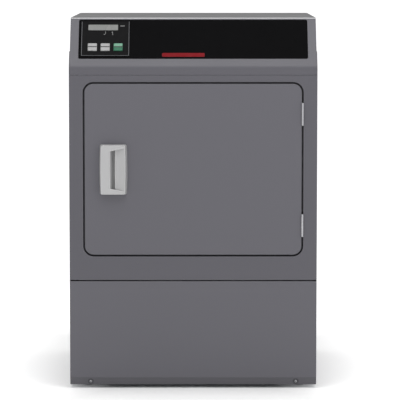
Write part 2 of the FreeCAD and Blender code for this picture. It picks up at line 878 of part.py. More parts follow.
for i in range(SIZES["baffle_count"]):
    hollow = cut("baffle_hollow_%d" % i, baffle_block("baffle_block_%d" % i, "0"),
                 baffle_block("baffle_inside_%d" % i, "baffle_wall"))
    baffle = doc.addObject("Part::Common", "baffle_%d" % i)
    baffle.Base = hollow
    baffle.Tool = rod("baffle_reach_%d" % i, "y", ("0", "0"), ("drum_front", "drum_back"),
                      "drum_inner")
    turn(baffle, Vector(0, 1, 0), "90 - baffle_first + %d * 360 / baffle_count" % i)
    bind(baffle, "Placement.Base.z", "drum_axis")
    node(baffle, "drum_baffle_%d" % (i + 1))

# Front bulkhead: a plate with the throat tunnel in front and the drum collar behind.
sizes(
    grille_slots=11,
    grille_pitch=22,
    grille_slot=8,
    grille_low=308,
    grille_high=396,
    filter_width=280,
    filter_low=225,
    filter_room=2,
    filter_wall=8,
    filter_from_front=43,
    filter_border=10,
    screen_wall=1,
    screen_corner=2,
)
places(
    filter_y="front + filter_from_front",
    filter_back="filter_y + filter_wall",
    filter_half="filter_width / 2",
)
bulkhead_plate = slab("bulkhead_plate", mid("0", "bulkhead_half"), ("bulkhead", "bulkhead_rear"),
                      ("motor_z + blower_radius + blower_over", "bulkhead_high"))
tunnel = pan("tunnel", "XZ", mid("0", "throat_half + sheet"),
             ("throat_low - sheet", "throat_high + sheet"),
             ("ledge_back", "bulkhead_rear"), "throat_corner + sheet")
front_collar = tube("front_collar", "y", ("0", "drum_axis"),
                    ("bulkhead_rear", "bulkhead_rear + collar_depth"),
                    "collar_outer", "collar_outer - sheet")
filter_slot = slab("filter_slot", mid("0", "filter_half + filter_room"),
                   ("filter_y - filter_room", "filter_back + filter_room"),
                   ("throat_low - 2 * sheet", "throat_low + throat_corner / 2"))
grille = [slab("grille_%d" % i,
               mid("grille_pitch * (%d - (grille_slots - 1) / 2)" % i, "grille_slot / 2"),
               ("bulkhead - sheet", "bulkhead_rear + sheet"), ("grille_low", "grille_high"))
          for i in range(SIZES["grille_slots"])]
node(join("front_bulkhead_whole",
          cut("front_bulkhead_cut", join("front_bulkhead_solid", bulkhead_plate, tunnel),
              throat_hole("tunnel_hole", ("front", "bulkhead_rear + sheet")),
              filter_slot, *grille), front_collar), "front_bulkhead")

# Rear bulkhead: a plate with a drum collar, a field of air holes and two roller studs.
sizes(
    air_columns=12,
    air_rows=6,
    air_pitch=26,
    air_radius=7,
    air_middle=790,
    roller_angle=35,
    roller_radius=22,
    roller_wide=24,
    roller_gap=0.3,
    roller_from_back=22,
    roller_stud=5,
    roller_room=0.05,
    roller_lip=1,
)
places(
    roller_reach="drum_outer + roller_radius + roller_gap",
    roller_x="roller_reach * sin(roller_angle)",
    roller_z="drum_axis - roller_reach * cos(roller_angle)",
    roller_y="drum_back - roller_from_back",
)
rear_solid = slab("rear_solid", mid("0", "bulkhead_half"), ("rear_plate", "rear_plate + sheet"),
                  ("foot_height + pan_wall", "rear_plate_high"))
air_holes = [rod("air_%d_%d" % (i, j), "y",
                 ("air_pitch * (%d - (air_columns - 1) / 2)" % i,
                  "air_middle + air_pitch * (%d - (air_rows - 1) / 2)" % j),
                 ("rear_plate - sheet", "rear_plate + 2 * sheet"), "air_radius")
             for i in range(SIZES["air_columns"]) for j in range(SIZES["air_rows"])]
pipe_way = rod("pipe_way", "y", pipe_centre, ("rear_plate - sheet", "rear_plate + 2 * sheet"),
               "pipe_radius + pipe_room")
rear_collar = tube("rear_collar", "y", ("0", "drum_axis"),
                   ("rear_plate - collar_depth", "rear_plate"),
                   "collar_outer", "collar_outer - sheet")
roller_studs = [rod("roller_stud_" + side, "y", (sign + "roller_x", "roller_z"),
                    ("roller_y - roller_wide / 2 - roller_lip * 4", "rear_plate"),
                    "roller_stud")
                for side, sign in (("left", "-"), ("right", ""))]
node(join("rear_bulkhead_whole", cut("rear_bulkhead_cut", rear_solid, pipe_way, *air_holes),
          rear_collar, *roller_studs), "rear_bulkhead")
for side, sign in (("left", "-"), ("right", "")):
    centre = (sign + "roller_x", "roller_z")
    node(tube("roller_" + side, "y", centre,
              mid("roller_y", "roller_wide / 2"), "roller_radius",
              "roller_stud + roller_room"), "drum_roller_" + side)

for end, start in (("front", "bulkhead_rear + felt_set"),
                   ("rear", "rear_plate - collar_depth + felt_set")):
    node(tube("felt_" + end, "y", ("0", "drum_axis"), (start, "%s + felt_wide" % start),
              "drum_inner - felt_room", "collar_outer"), end + "_felt_seal")

# ---------------------------------------------------------------- air path

# The lint duct hangs under the throat and carries air down to the blower's eye.
sizes(
    duct_front=34,
    duct_wall=1.2,
    duct_out=10,
    duct_foot=80,
    duct_toe=90,
    blower_depth=80,
    blower_wall=1.5,
    eye_radius=46,
    blower_shaft_hole=10,
    outlet_rise=2,
    outlet_tall=80,
    elbow_room=4.2,
)
places(
    duct_y="front + duct_front",
    duct_half="filter_half + duct_out",
    duct_top="throat_low - sheet",
    duct_toe_left="motor_x - duct_toe",
    duct_toe_right="motor_x + duct_toe",
    outlet_low="motor_z - blower_radius + outlet_rise",
    outlet_high="outlet_low + outlet_tall",
    elbow_out="pipe_radius + elbow_room",
    outlet_end="elbow_out - pipe_in",
    blower_y="front + blower_from_front",
    blower_back="blower_y + blower_depth",
)


def duct_outline(inset):
    """The lint duct's outline, set in by a wall."""
    return [
        ("-duct_half + %s" % inset, "duct_top"),
        ("-duct_half + %s" % inset, "filter_low - duct_out + %s" % inset),
        ("duct_toe_left + %s" % inset, "duct_foot + %s" % inset),
        ("duct_toe_right - %s" % inset, "duct_foot + %s" % inset),
        ("duct_toe_right - %s" % inset, "filter_low - duct_out - %s" % inset),
        ("duct_half - %s" % inset, "filter_low"),
        ("duct_half - %s" % inset, "duct_top"),
    ]


duct_solid = prism("duct_solid", "XZ", duct_outline("0"), ("duct_y", "bulkhead"))
duct_inside = prism("duct_inside", "XZ", duct_outline("duct_wall"),
                    ("duct_y + duct_wall", "bulkhead - duct_wall"))
duct_back = slab("duct_back", mid("0", "filter_half"), ("bulkhead - 2 * duct_wall",
                 "bulkhead + duct_wall"), ("grille_low - sheet", "grille_high + sheet"))
eye = rod("duct_eye", "y", ("motor_x", "motor_z"), ("bulkhead - 2 * duct_wall",
          "blower_y + duct_wall"), "eye_radius")
node(cut("duct_whole", duct_solid, duct_inside, duct_back, eye), "lint_duct")

motor_centre = ("motor_x", "motor_z")
housing_solid = join("housing_solid",
                     rod("scroll_solid", "y", motor_centre, ("blower_y", "blower_back"),
                         "blower_radius"),
                     slab("outlet_solid", ("outlet_end", "motor_x"), ("blower_y", "blower_back"),
                          ("outlet_low - blower_wall", "outlet_high + blower_wall")))
housing_inside = [
    rod("scroll_inside", "y", motor_centre,
        ("blower_y + blower_wall", "blower_back - blower_wall"), "blower_radius - blower_wall"),
    slab("outlet_inside", ("outlet_end - blower_wall", "motor_x"),
         ("blower_y + blower_wall", "blower_back - blower_wall"),
         ("outlet_low", "outlet_high")),
    rod("housing_eye", "y", motor_centre, ("blower_y - blower_wall", "blower_y + cut_past"),
        "eye_radius"),
    rod("housing_shaft_hole", "y", motor_centre, mid("blower_back", "cut_past"),
        "blower_shaft_hole"),
]
node(cut("housing_whole", housing_solid, *housing_inside), "blower_housing")

# The exhaust box turns the air from the scroll into the round pipe out of the back. The
# pipe's end is flared out to the hose's size where it stands clear of the rear panel.
places(
    pipe_run="pipe_radius - pipe_swage",
    swage_end="back + swage_long",
    elbow_left="-pipe_in - elbow_out",
    elbow_low="pipe_axis - elbow_out",
    elbow_high="pipe_axis + elbow_out",
)
elbow_solid = slab("elbow_solid", ("elbow_left", "outlet_end"),
                   ("blower_y", "blower_back"), ("elbow_low", "elbow_high"))
elbow_inside = slab("elbow_inside", ("elbow_left + blower_wall", "outlet_end - blower_wall"),
                    ("blower_y + blower_wall", "blower_back - blower_wall"),
                    ("elbow_low + blower_wall", "elbow_high - blower_wall"))
elbow_mouth = slab("elbow_mouth", ("outlet_end - 2 * blower_wall", "outlet_end + blower_wall"),
                   ("blower_y + blower_wall", "blower_back - blower_wall"),
                   ("outlet_low", "outlet_high"))
pipe_hole = rod("pipe_hole", "y", pipe_centre, ("blower_back - 2 * blower_wall",
                "blower_back + blower_wall"), "pipe_run - pipe_wall")
node(cut("elbow_whole", elbow_solid, elbow_inside, elbow_mouth, pipe_hole), "exhaust_elbow")
node(turned("pipe", pipe_centre, [
    ("blower_back", "pipe_run - pipe_wall"),
    ("back", "pipe_run - pipe_wall"),
    ("swage_end", "pipe_radius - pipe_wall"),
    ("back + collar_length", "pipe_radius - pipe_wall"),
    ("back + collar_length", "pipe_radius"),
    ("swage_end", "pipe_radius"),
    ("back", "pipe_run"),
    ("blower_back", "pipe_run"),
]), "exhaust_pipe")

node(frame_of("filter_ring", "XZ", mid("0", "filter_half"), ("filter_low", "throat_low"),
              ("filter_y", "filter_back"), "filter_border + screen_corner",
              "filter_border"),
     "lint_filter_frame")
node(pan("screen", "XZ", mid("0", "filter_half - filter_border"),
         ("filter_low + filter_border", "throat_low - filter_border"),
         mid("(filter_y + filter_back) / 2", "screen_wall / 2"), "screen_corner"),
     "lint_screen")

# Hot air box behind the drum, and its element.
sizes(
    heat_half=178,
    heat_low=700,
    heat_high=880,
    heat_depth=36,
    element_bars=5,
    element_radius=4,
    element_in=16,
    mica_wall=2,
)
places(
    heat_front="rear_plate + sheet",
    heat_back="heat_front + heat_depth",
    element_y="(heat_front + heat_back) / 2",
)
heat_solid = slab("heat_solid", mid("0", "heat_half"), ("heat_front", "heat_back"),
                  ("heat_low", "heat_high"))
heat_inside = slab("heat_inside", mid("0", "heat_half - sheet"),
                   ("heat_front - sheet", "heat_back - sheet"),
                   ("heat_low + sheet", "heat_high - sheet"))
node(cut("heat_whole", heat_solid, heat_inside), "heater_duct")
element_bars = [rod("element_bar_%d" % i, "x",
                    ("element_y", "heat_low + (%d + 1) * (heat_high - heat_low)"
                     " / (element_bars + 1)" % i),
                    mid("0", "heat_half - element_in"), "element_radius")
                for i in range(SIZES["element_bars"])]
mica = [slab("mica_" + side, mid(sign + "(heat_half - element_in * 2)", "mica_wall / 2"),
             mid("element_y", "element_radius * 2"), ("heat_low + sheet", "heat_high - sheet"))
        for side, sign in (("left", "-"), ("right", ""))]
node(join("element_whole", *element_bars, *mica), "heater_element")

# ---------------------------------------------------------------- drive

sizes(
    motor_radius=75,
    motor_from_front=152,
    motor_length=140,
    motor_wall=5,
    motor_bell=12,
    shaft_radius=7,
    shaft_room=0.05,
    shaft_end=16,
    pulley_radius=10,
    pulley_flange=14,
    pulley_lip=3,
    pulley_wide=12,
    wheel_room=11.5,
    wheel_hub=14,
    wheel_hub_end=50,
    wheel_wide=52,
    wheel_in=8,
    wheel_plate=2,
    blade_count=24,
    blade_wall=1.5,
    blade_root=62,
)
places(
    motor_front="front + motor_from_front",
    motor_back="motor_front + motor_length",
    wheel_radius="blower_radius - blower_wall - wheel_room",
    wheel_back="blower_back - wheel_in",
    wheel_front="wheel_back - wheel_wide",
    shaft_front="wheel_back - wheel_hub_end",
    shaft_back="belt_y + pulley_wide / 2 + pulley_lip + shaft_end",
)
node(cut("motor_whole",
         join("motor_solid",
              rod("motor_can", "y", motor_centre, ("motor_front + motor_bell", "motor_back - motor_bell"),
                  "motor_radius"),
              cone("motor_bell_front", "y", motor_centre, ("motor_front", "motor_front + motor_bell"),
                   ("motor_radius - motor_bell", "motor_radius")),
              cone("motor_bell_back", "y", motor_centre, ("motor_back - motor_bell", "motor_back"),
                   ("motor_radius", "motor_radius - motor_bell"))),
         rod("motor_hollow", "y", motor_centre, ("motor_front + motor_bell", "motor_back - motor_bell"),
             "motor_radius - motor_wall"),
         rod("motor_bore", "y", motor_centre, ("motor_front - cut_past", "motor_back + cut_past"),
             "shaft_radius + shaft_room")), "motor_body")
node(rod("shaft", "y", motor_centre, ("shaft_front", "shaft_back"), "shaft_radius"),
     "motor_shaft")
node(cut("pulley_whole",
         join("pulley_solid",
              rod("pulley_core", "y", motor_centre, mid("belt_y", "pulley_wide / 2"),
                  "pulley_radius"),
              rod("pulley_lip_front", "y", motor_centre,
                  ("belt_y - pulley_wide / 2 - pulley_lip", "belt_y - pulley_wide / 2"),
                  "pulley_flange"),
              rod("pulley_lip_back", "y", motor_centre,
                  ("belt_y + pulley_wide / 2", "belt_y + pulley_wide / 2 + pulley_lip"),
                  "pulley_flange")),
         rod("pulley_bore", "y", motor_centre, mid("belt_y", "pulley_wide"), "shaft_radius")),
     "motor_pulley")
blades = []
for i in range(SIZES["blade_count"]):
    blade = prism("blade_%d" % i, "XZ", [
        ("blade_root", "-blade_wall / 2"),
        ("wheel_radius", "-blade_wall / 2"),
        ("wheel_radius", "blade_wall / 2"),
        ("blade_root", "blade_wall / 2"),
    ], ("wheel_front", "wheel_back"))
    turn(blade, Vector(0, 1, 0), "%d * 360 / blade_count" % i)
    bind(blade, "Placement.Base.x", "motor_x")
    bind(blade, "Placement.Base.z", "motor_z")
    blades.append(blade)
wheel_disc = rod("wheel_disc", "y", motor_centre, ("wheel_back - wheel_plate", "wheel_back"),
                 "wheel_radius")
wheel_hub = rod("wheel_hub", "y", motor_centre, ("shaft_front", "wheel_back"), "wheel_hub")
wheel_ring = tube("wheel_ring", "y", motor_centre, ("wheel_front", "wheel_front + wheel_plate"),
                  "wheel_radius", "blade_root")
node(cut("wheel_whole", join("wheel_solid", wheel_disc, wheel_hub, wheel_ring, *blades),
         rod("wheel_bore", "y", motor_centre, ("shaft_front - cut_past", "wheel_back + cut_past"),
             "shaft_radius")), "blower_wheel")

# The belt runs round the drum and the motor pulley on two common tangents.
sizes(
    belt_gap=0.4,
    belt_wall=2.6,
    idler_radius=20,
    idler_gap=0.4,
    idler_wide=12,
    idler_along=100,
    idler_pin=4,
    idler_pin_room=0.05,
    pivot_x=112,
    pivot_z=62,
    arm_wide=16,
    arm_wall=4,
    arm_behind=3,
    post_wall=3,
    post_wide=26,
)
places(
    belt_span="sqrt(motor_x ^ 2 + (drum_axis - motor_z) ^ 2)",
    belt_aim="0 - acos(motor_x / belt_span) / 1 deg",
    belt_open="acos((drum_outer - pulley_radius) / belt_span) / 1 deg",
    tangent_left="belt_aim - belt_open",
    tangent_right="belt_aim + belt_open",
)


def belt_solid(name, gap, half_wide):
    """The space inside the belt's path, a gap away from the drum and the pulley."""
    span = mid("belt_y", half_wide)
    big = rod(name + "_big", "y", ("0", "drum_axis"), span, "drum_outer + " + gap)
    small = rod(name + "_small", "y", motor_centre, span, "pulley_radius + " + gap)
    corners = []
    for side, ends in (("left", "ds"), ("right", "sd")):
        for end in ends:
            radius = "(drum_outer + %s)" % gap if end == "d" else "(pulley_radius + %s)" % gap
            x, z = ("0", "drum_axis") if end == "d" else motor_centre
            corners.append(("%s + %s * cos(tangent_%s)" % (x, radius, side),
                            "%s + %s * sin(tangent_%s)" % (z, radius, side)))
    return join(name, big, small, prism(name + "_between", "XZ", corners, span))


node(cut("belt_whole", belt_solid("belt_outside", "(belt_gap + belt_wall)", "belt_wide / 2"),
         belt_solid("belt_inside", "belt_gap", "belt_wide")), "drive_belt")

places(
    idler_reach="pulley_radius + belt_gap + belt_wall + idler_gap + idler_radius",
    idler_x="motor_x + idler_reach * cos(tangent_left) + idler_along * sin(tangent_left)",
    idler_z="motor_z + idler_reach * sin(tangent_left) - idler_along * cos(tangent_left)",
    arm_length="sqrt((idler_x - pivot_x) ^ 2 + (idler_z - pivot_z) ^ 2)",
    arm_turn="acos((idler_x - pivot_x) / arm_length) / 1 deg",
    arm_y="belt_y + idler_wide / 2 + arm_behind",
    arm_back="arm_y + arm_wall",
    post_y="arm_back + arm_behind",
)
idler_centre = ("idler_x", "idler_z")
pivot_centre = ("pivot_x", "pivot_z")
node(tube("idler_wheel", "y", idler_centre, mid("belt_y", "idler_wide / 2"),
          "idler_radius", "idler_pin + idler_pin_room"), "idler_pulley")
arm_bar = prism("arm_bar", "XZ", [
    ("0", "-arm_wide / 2"),
    ("arm_length", "-arm_wide / 2"),
    ("arm_length", "arm_wide / 2"),
    ("0", "arm_wide / 2"),
], ("arm_y", "arm_back"))
turn(arm_bar, Vector(0, 1, 0), "-arm_turn")
bind(arm_bar, "Placement.Base.x", "pivot_x")
bind(arm_bar, "Placement.Base.z", "pivot_z")
arm_solid = join("arm_solid", arm_bar,
                 rod("arm_hub", "y", pivot_centre, ("arm_y", "arm_back"), "arm_wide / 2"),
                 rod("arm_end", "y", idler_centre, ("arm_y", "arm_back"), "arm_wide / 2"),
                 rod("arm_pin", "y", idler_centre,
                     ("belt_y - idler_wide / 2 - arm_behind", "arm_y"), "idler_pin"))
node(cut("arm_whole", arm_solid,
         rod("arm_bore", "y", pivot_centre, ("arm_y - cut_past", "arm_back + cut_past"),
             "idler_pin + idler_pin_room")), "idler_arm")

# The motor cradle stands on the base pan and carries the idler's post as well.
sizes(
    mount_half=72,
    mount_base=2.5,
    cradle_wall=4,
    cradle_in=16,
)
places(
    mount_low="foot_height + sheet",
    mount_floor="mount_low + mount_base",
)
mount_x = mid("motor_x", "mount_half")
cradles = [slab("cradle_" + end, mount_x, (start, start + " + cradle_wall"),
                ("mount_low", "motor_z - motor_radius / 3"))
           for end, start in (("front", "motor_front + cradle_in"),
                              ("back", "motor_back - cradle_in - cradle_wall"))]
motor_room = rod("motor_room", "y", motor_centre, ("motor_front", "motor_back"), "motor_radius")
post = slab("post", mid("pivot_x", "post_wide / 2"), ("post_y", "post_y + post_wall"),
            ("mount_low", "pivot_z + post_wide / 2"))
mount_plate = slab("mount_plate", mount_x, ("motor_front", "post_y + post_wall"),
                   ("mount_low", "mount_floor"))
pivot_pin = rod("pivot_pin", "y", pivot_centre, ("arm_y - arm_behind", "post_y"), "idler_pin")
node(join("mount_whole", cut("mount_cut", join("mount_solid", mount_plate, *cradles),
                             motor_room), post, pivot_pin), "motor_mount")

# ---------------------------------------------------------------- back

sizes(
    access_half=150,
    access_low=250,
    access_high=520,
    access_corner=12,
    access_lap=14,
    vent_columns=2,
    vent_rows=9,
    vent_half=45,
    vent_x=215,
    vent_low=610,
    vent_pitch=20,
    vent_slot=6,
    terminal_x=240,
    terminal_z=880,
    terminal_half=45,
    terminal_depth=13,
    terminal_wall=1.5,
    terminal_hole=30,
    gland_radius=11,
)
places(
    terminal_back="back + terminal_depth",
)
back_span = ("rear_face - sheet", "back + sheet")
vents = [slab("vent_%d_%d" % (i, j), mid("vent_x * (%d * 2 - 1)" % i, "vent_half"),
              back_span, mid("vent_low + vent_pitch * %d" % j, "vent_slot / 2"))
         for i in range(SIZES["vent_columns"]) for j in range(SIZES["vent_rows"])]
rear_sheet = slab("rear_sheet", mid("0", "inner_side"), ("rear_face", "back"),
                  ("foot_height", "cabinet_height - rear_lap"))
access_hole = pan("access_hole", "XZ", mid("0", "access_half"), ("access_low", "access_high"),
                  back_span, "access_corner")
terminal_hole = slab("terminal_hole", mid("terminal_x", "terminal_hole"), back_span,
                     mid("terminal_z", "terminal_hole"))
panel_pipe_hole = rod("panel_pipe_hole", "y", pipe_centre, back_span,
                      "pipe_radius + pipe_room")
node(cut("rear_whole", rear_sheet, access_hole, terminal_hole, panel_pipe_hole, *vents),
     "rear_panel")
node(pan("access_cover", "XZ", mid("0", "access_half + access_lap"),
         ("access_low - access_lap", "access_high + access_lap"), ("back", "back + sheet"),
         "access_corner + access_lap / 2"), "rear_access_cover")
terminal_solid = slab("terminal_solid", mid("terminal_x", "terminal_half"),
                      ("back", "terminal_back"), mid("terminal_z", "terminal_half"))
terminal_hollow = slab("terminal_hollow", mid("terminal_x", "terminal_half - terminal_wall"),
                       ("back - sheet", "terminal_back - terminal_wall"),
                       mid("terminal_z", "terminal_half - terminal_wall"))
gland = rod("gland", "y", ("terminal_x", "terminal_z"), ("back", "terminal_back + sheet"),
            "gland_radius")
node(cut("terminal_whole", terminal_solid, terminal_hollow, gland), "terminal_cover")

# ---------------------------------------------------------------- wiring harness

# One loom from the control board down the front left corner and across to the motor.
sizes(
    loom_radius=4,
    loom_bend=26,
    loom_in=20,
    loom_from_front=45,
    loom_up=10,
    loom_inward=80,
)
places(
    loom_x="loom_in - side",
    loom_y="front + loom_from_front",
    loom_top="slope_foot + loom_up",
    loom_low="foot_height + sheet + loom_up",
    motor_middle="(motor_front + motor_back) / 2",
    motor_under="motor_z - motor_radius - felt_room",
)
doc.recompute()
place = set_of_places
route = [
    Vector(place.loom_x + SIZES["loom_inward"], place.loom_y, place.loom_top),
    Vector(place.loom_x, place.loom_y, place.loom_top),
    Vector(place.loom_x, place.loom_y, place.loom_low),
    Vector(place.loom_x, place.motor_middle, place.loom_low),
    Vector(SIZES["motor_x"], place.motor_middle, place.loom_low),
    Vector(SIZES["motor_x"], place.motor_middle, place.motor_under),
]


def loom_path(points, bend):
    """Straight runs joined by tangent arcs of one radius."""
    edges = []
    start = points[0]
    for before, corner, after in zip(points, points[1:], points[2:]):
        inward = before.sub(corner).normalize()
        onward = after.sub(corner).normalize()
        half_turn = (math.pi - inward.getAngle(onward)) / 2
        set_back = bend * math.tan(half_turn)
        first = corner + inward * set_back
        last = corner + onward * set_back
        bisector = (inward + onward).normalize()
        middle = corner + bisector * (bend / math.cos(half_turn) - bend)
        edges.append(Part.LineSegment(start, first).toShape())
        edges.append(Part.Arc(first, middle, last).toShape())
        start = last
    edges.append(Part.LineSegment(start, points[-1]).toShape())
    return Part.Wire(edges)


path = loom_path(route, SIZES["loom_bend"])
circle = Part.Wire(Part.makeCircle(SIZES["loom_radius"], route[0], route[1].sub(route[0])))
loom = doc.addObject("Part::Feature", "loom")
loom.Shape = path.makePipeShell([circle], True, False)
loom.Placement = Placement()
node(loom, "wiring_harness")
section = math.pi * SIZES["loom_radius"] ** 2
print("loom length %.0f, bend %.0f, volume over section times length %.4f"
      % (path.Length, SIZES["loom_bend"], loom.Shape.Volume / (section * path.Length)))

# ---------------------------------------------------------------- checks and files

doc.recompute()
for thing in doc.Objects:
    bad = [state for state in thing.State if state in ("Invalid", "Error")]
    if bad:
        raise RuntimeError("%s is %s" % (thing.Name, bad))
for label, thing in NODES.items():
    shape = thing.Shape
    if shape.isNull() or not shape.isValid() or shape.Volume <= 0:
        raise RuntimeError("%s has no sound shape" % label)
    shape.exportStep("parts/%s.step" % label)
print("%d sub-parts written" % len(NODES))
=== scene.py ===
# %% [markdown]
# # A clothes dryer, finished in Blender
# The dryer's shapes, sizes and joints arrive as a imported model, one object for each real
# piece. This file gives those pieces their paint, metal, rubber and felt, adds the small
# parts that were too fine for the model, and sets up the floor, the light and the camera.
# Every length is in metres: X runs to the right, -Y out of the door, and Z up.

# %% Load the model
import math
import bmesh
import bpy
from mathutils import Matrix, Vector


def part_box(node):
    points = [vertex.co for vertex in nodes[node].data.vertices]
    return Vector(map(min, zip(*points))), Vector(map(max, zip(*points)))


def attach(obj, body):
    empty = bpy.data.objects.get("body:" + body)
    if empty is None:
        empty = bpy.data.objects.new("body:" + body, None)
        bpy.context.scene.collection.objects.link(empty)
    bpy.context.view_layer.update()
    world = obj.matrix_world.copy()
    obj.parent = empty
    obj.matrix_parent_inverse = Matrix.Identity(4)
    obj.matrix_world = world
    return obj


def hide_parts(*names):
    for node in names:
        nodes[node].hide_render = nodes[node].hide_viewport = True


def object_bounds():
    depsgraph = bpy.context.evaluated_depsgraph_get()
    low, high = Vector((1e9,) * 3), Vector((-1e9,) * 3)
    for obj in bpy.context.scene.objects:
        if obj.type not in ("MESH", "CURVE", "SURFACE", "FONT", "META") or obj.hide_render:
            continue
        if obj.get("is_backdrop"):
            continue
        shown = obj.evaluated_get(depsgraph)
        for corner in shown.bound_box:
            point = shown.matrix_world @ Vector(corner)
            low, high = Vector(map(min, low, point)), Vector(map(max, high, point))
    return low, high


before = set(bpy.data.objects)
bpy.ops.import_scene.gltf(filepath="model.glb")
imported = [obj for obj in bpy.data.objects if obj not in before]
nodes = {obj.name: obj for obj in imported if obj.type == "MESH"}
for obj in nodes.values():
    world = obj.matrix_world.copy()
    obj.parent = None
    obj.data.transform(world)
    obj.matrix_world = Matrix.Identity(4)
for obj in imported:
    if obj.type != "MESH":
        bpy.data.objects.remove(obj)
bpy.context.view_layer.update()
print("pieces in the model:", len(nodes))

# %% [markdown]
# A finish is one material. Each starts as a Principled shader, and the steps below hang
# noise, waves or cells on it. The small class keeps the node tree and its shader at hand,
# so that a finish can be written in a few lines. Numbers that are the same all over the
# surface, such as how much light it mirrors, go straight on the shader.

# %% A finish and its nodes
def tone(red, green, blue):
    """A colour from the usual 0 to 255 scale, as the shader wants it."""
    def linear(value):
        share = value / 255
        return share / 12.92 if share <= 0.04045 else ((share + 0.055) / 1.055) ** 2.4
    return (linear(red), linear(green), linear(blue), 1)


# In a colour Mix node, these sockets hold the two colours and the mixed one.
MIX_FIRST, MIX_SECOND, MIX_RESULT = 6, 7, 2
EDGE_SAMPLES = 4
# The rounded normal times the true one: at a full corner, and on flat ground.
CORNER_DOT, FLAT_DOT = 0.8, 0.995


class Finish:
    """One material, its node tree and its shader."""

    def __init__(self, name, metallic=0.0, specular=0.5):
        self.material = bpy.data.materials.new(name)
        self.material.use_nodes = True
        self.tree = self.material.node_tree
        self.shader = self.tree.nodes["Principled BSDF"]
        self.shader.inputs["Metallic"].default_value = metallic
        self.shader.inputs["Specular IOR Level"].default_value = specular
        self.place = self.node("ShaderNodeTexCoord").outputs["Object"]

    def node(self, kind, **settings):
        """A new node of one kind, with its settings."""
        made = self.tree.nodes.new(kind)
        for key, value in settings.items():
            setattr(made, key, value)
        return made

    def wire(self, source, socket):
        self.tree.links.new(source, socket)

    def stretched(self, stretch):
        """The place on the object, with its axes scaled."""
        mapping = self.node("ShaderNodeMapping")
        mapping.inputs["Scale"].default_value = stretch
        self.wire(self.place, mapping.inputs["Vector"])
        return mapping.outputs["Vector"]

    def along(self, axis):
        """The place on the object along one axis."""
        apart = self.node("ShaderNodeSeparateXYZ")
        self.wire(self.place, apart.inputs["Vector"])
        return apart.outputs[axis]

    def noise(self, scale, detail=3.0, stretch=(1, 1, 1)):
        """A cloudy number. A larger scale makes smaller clouds."""
        made = self.node("ShaderNodeTexNoise")
        made.inputs["Scale"].default_value = scale
        made.inputs["Detail"].default_value = detail
        self.wire(self.stretched(stretch), made.inputs["Vector"])
        return made.outputs["Fac"]

    def maths(self, operation, *values):
        """A Math node's result. Each value is a number or another node's output."""
        made = self.node("ShaderNodeMath", operation=operation)
        for socket, value in zip(made.inputs, values):
            if isinstance(value, (int, float)):
                socket.default_value = value
            else:
                self.wire(value, socket)
        return made.outputs[0]

    def between(self, fac, low, high, start=0.3, end=0.7):
        """A number that goes from low to high as fac goes from start to end."""
        made = self.node("ShaderNodeMapRange")
        for key, value in (("From Min", start), ("From Max", end),
                           ("To Min", low), ("To Max", high)):
            made.inputs[key].default_value = value
        self.wire(fac, made.inputs["Value"])
        return made.outputs["Result"]

    def blend(self, fac, first, second):
        """A colour between two, each a colour or another node's output."""
        made = self.node("ShaderNodeMix", data_type="RGBA")
        self.wire(fac, made.inputs["Factor"])
        for socket, value in ((made.inputs[MIX_FIRST], first),
                              (made.inputs[MIX_SECOND], second)):
            if isinstance(value, tuple):
                socket.default_value = value
            else:
                self.wire(value, socket)
        return made.outputs[MIX_RESULT]

    # This mask says where edges are painted lighter as a painted highlight.
    def edge_highlight_mask(self, radius, low=0.0, high=1.0):
        """1 where the surface turns a corner within the radius, and 0 on flat ground."""
        soft = self.node("ShaderNodeBevel", samples=EDGE_SAMPLES)
        soft.inputs["Radius"].default_value = radius
        true = self.node("ShaderNodeNewGeometry").outputs["Normal"]
        dot = self.node("ShaderNodeVectorMath", operation="DOT_PRODUCT")
        self.wire(soft.outputs["Normal"], dot.inputs[0])
        self.wire(true, dot.inputs[1])
        return self.between(dot.outputs["Value"], high, low, CORNER_DOT, FLAT_DOT)

    def relief(self, height, depth, strength=1.0, corner=None):
        """Bumps from a height, over edges that are rounded by a small corner radius."""
        made = self.node("ShaderNodeBump")
        made.inputs["Distance"].default_value = depth
        made.inputs["Strength"].default_value = strength
        self.wire(height, made.inputs["Height"])
        if corner:
            soft = self.node("ShaderNodeBevel", samples=EDGE_SAMPLES)
            soft.inputs["Radius"].default_value = corner
            self.wire(soft.outputs["Normal"], made.inputs["Normal"])
        self.wire(made.outputs["Normal"], self.shader.inputs["Normal"])

    def colour(self, source):
        self.wire(source, self.shader.inputs["Base Color"])

    def rough(self, source):
        self.wire(source, self.shader.inputs["Roughness"])


# %% [markdown]
# Two helpers put a finish on things. One paints nodes of the model, whose shapes are kept.
# The other turns new mesh data into a piece that rides on one body of the model, with its
# faces shaded smooth and its sharp edges rounded by a Bevel modifier.

# %% Painting and adding pieces
CORNER_SEGMENTS, CORNER_ANGLE = 2, math.radians(30)


def paint(finish, *names):
    """One finish on nodes of the model, in place of what they had."""
    for name in names:
        nodes[name].data.materials.clear()
        nodes[name].data.materials.append(finish.material)
    print(finish.material.name, "on", len(names), "pieces")


def add_piece(name, mesh, finish, body, corner=0.0):
    """A new piece from a bmesh, on one body, with its corners rounded."""
    data = bpy.data.meshes.new(name)
    bmesh.ops.recalc_face_normals(mesh, faces=mesh.faces)
    mesh.to_mesh(data)
    mesh.free()
    data.materials.append(finish.material)
    data.shade_smooth()
    made = bpy.data.objects.new(name, data)
    bpy.context.scene.collection.objects.link(made)
    if corner:
        bevel = made.modifiers.new("corners", "BEVEL")
        bevel.width = corner
        bevel.segments = CORNER_SEGMENTS
        bevel.limit_method = "ANGLE"
        bevel.angle_limit = CORNER_ANGLE
    weighted = made.modifiers.new("shading", "WEIGHTED_NORMAL")
    weighted.keep_sharp = True
    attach(made, body)
    return made
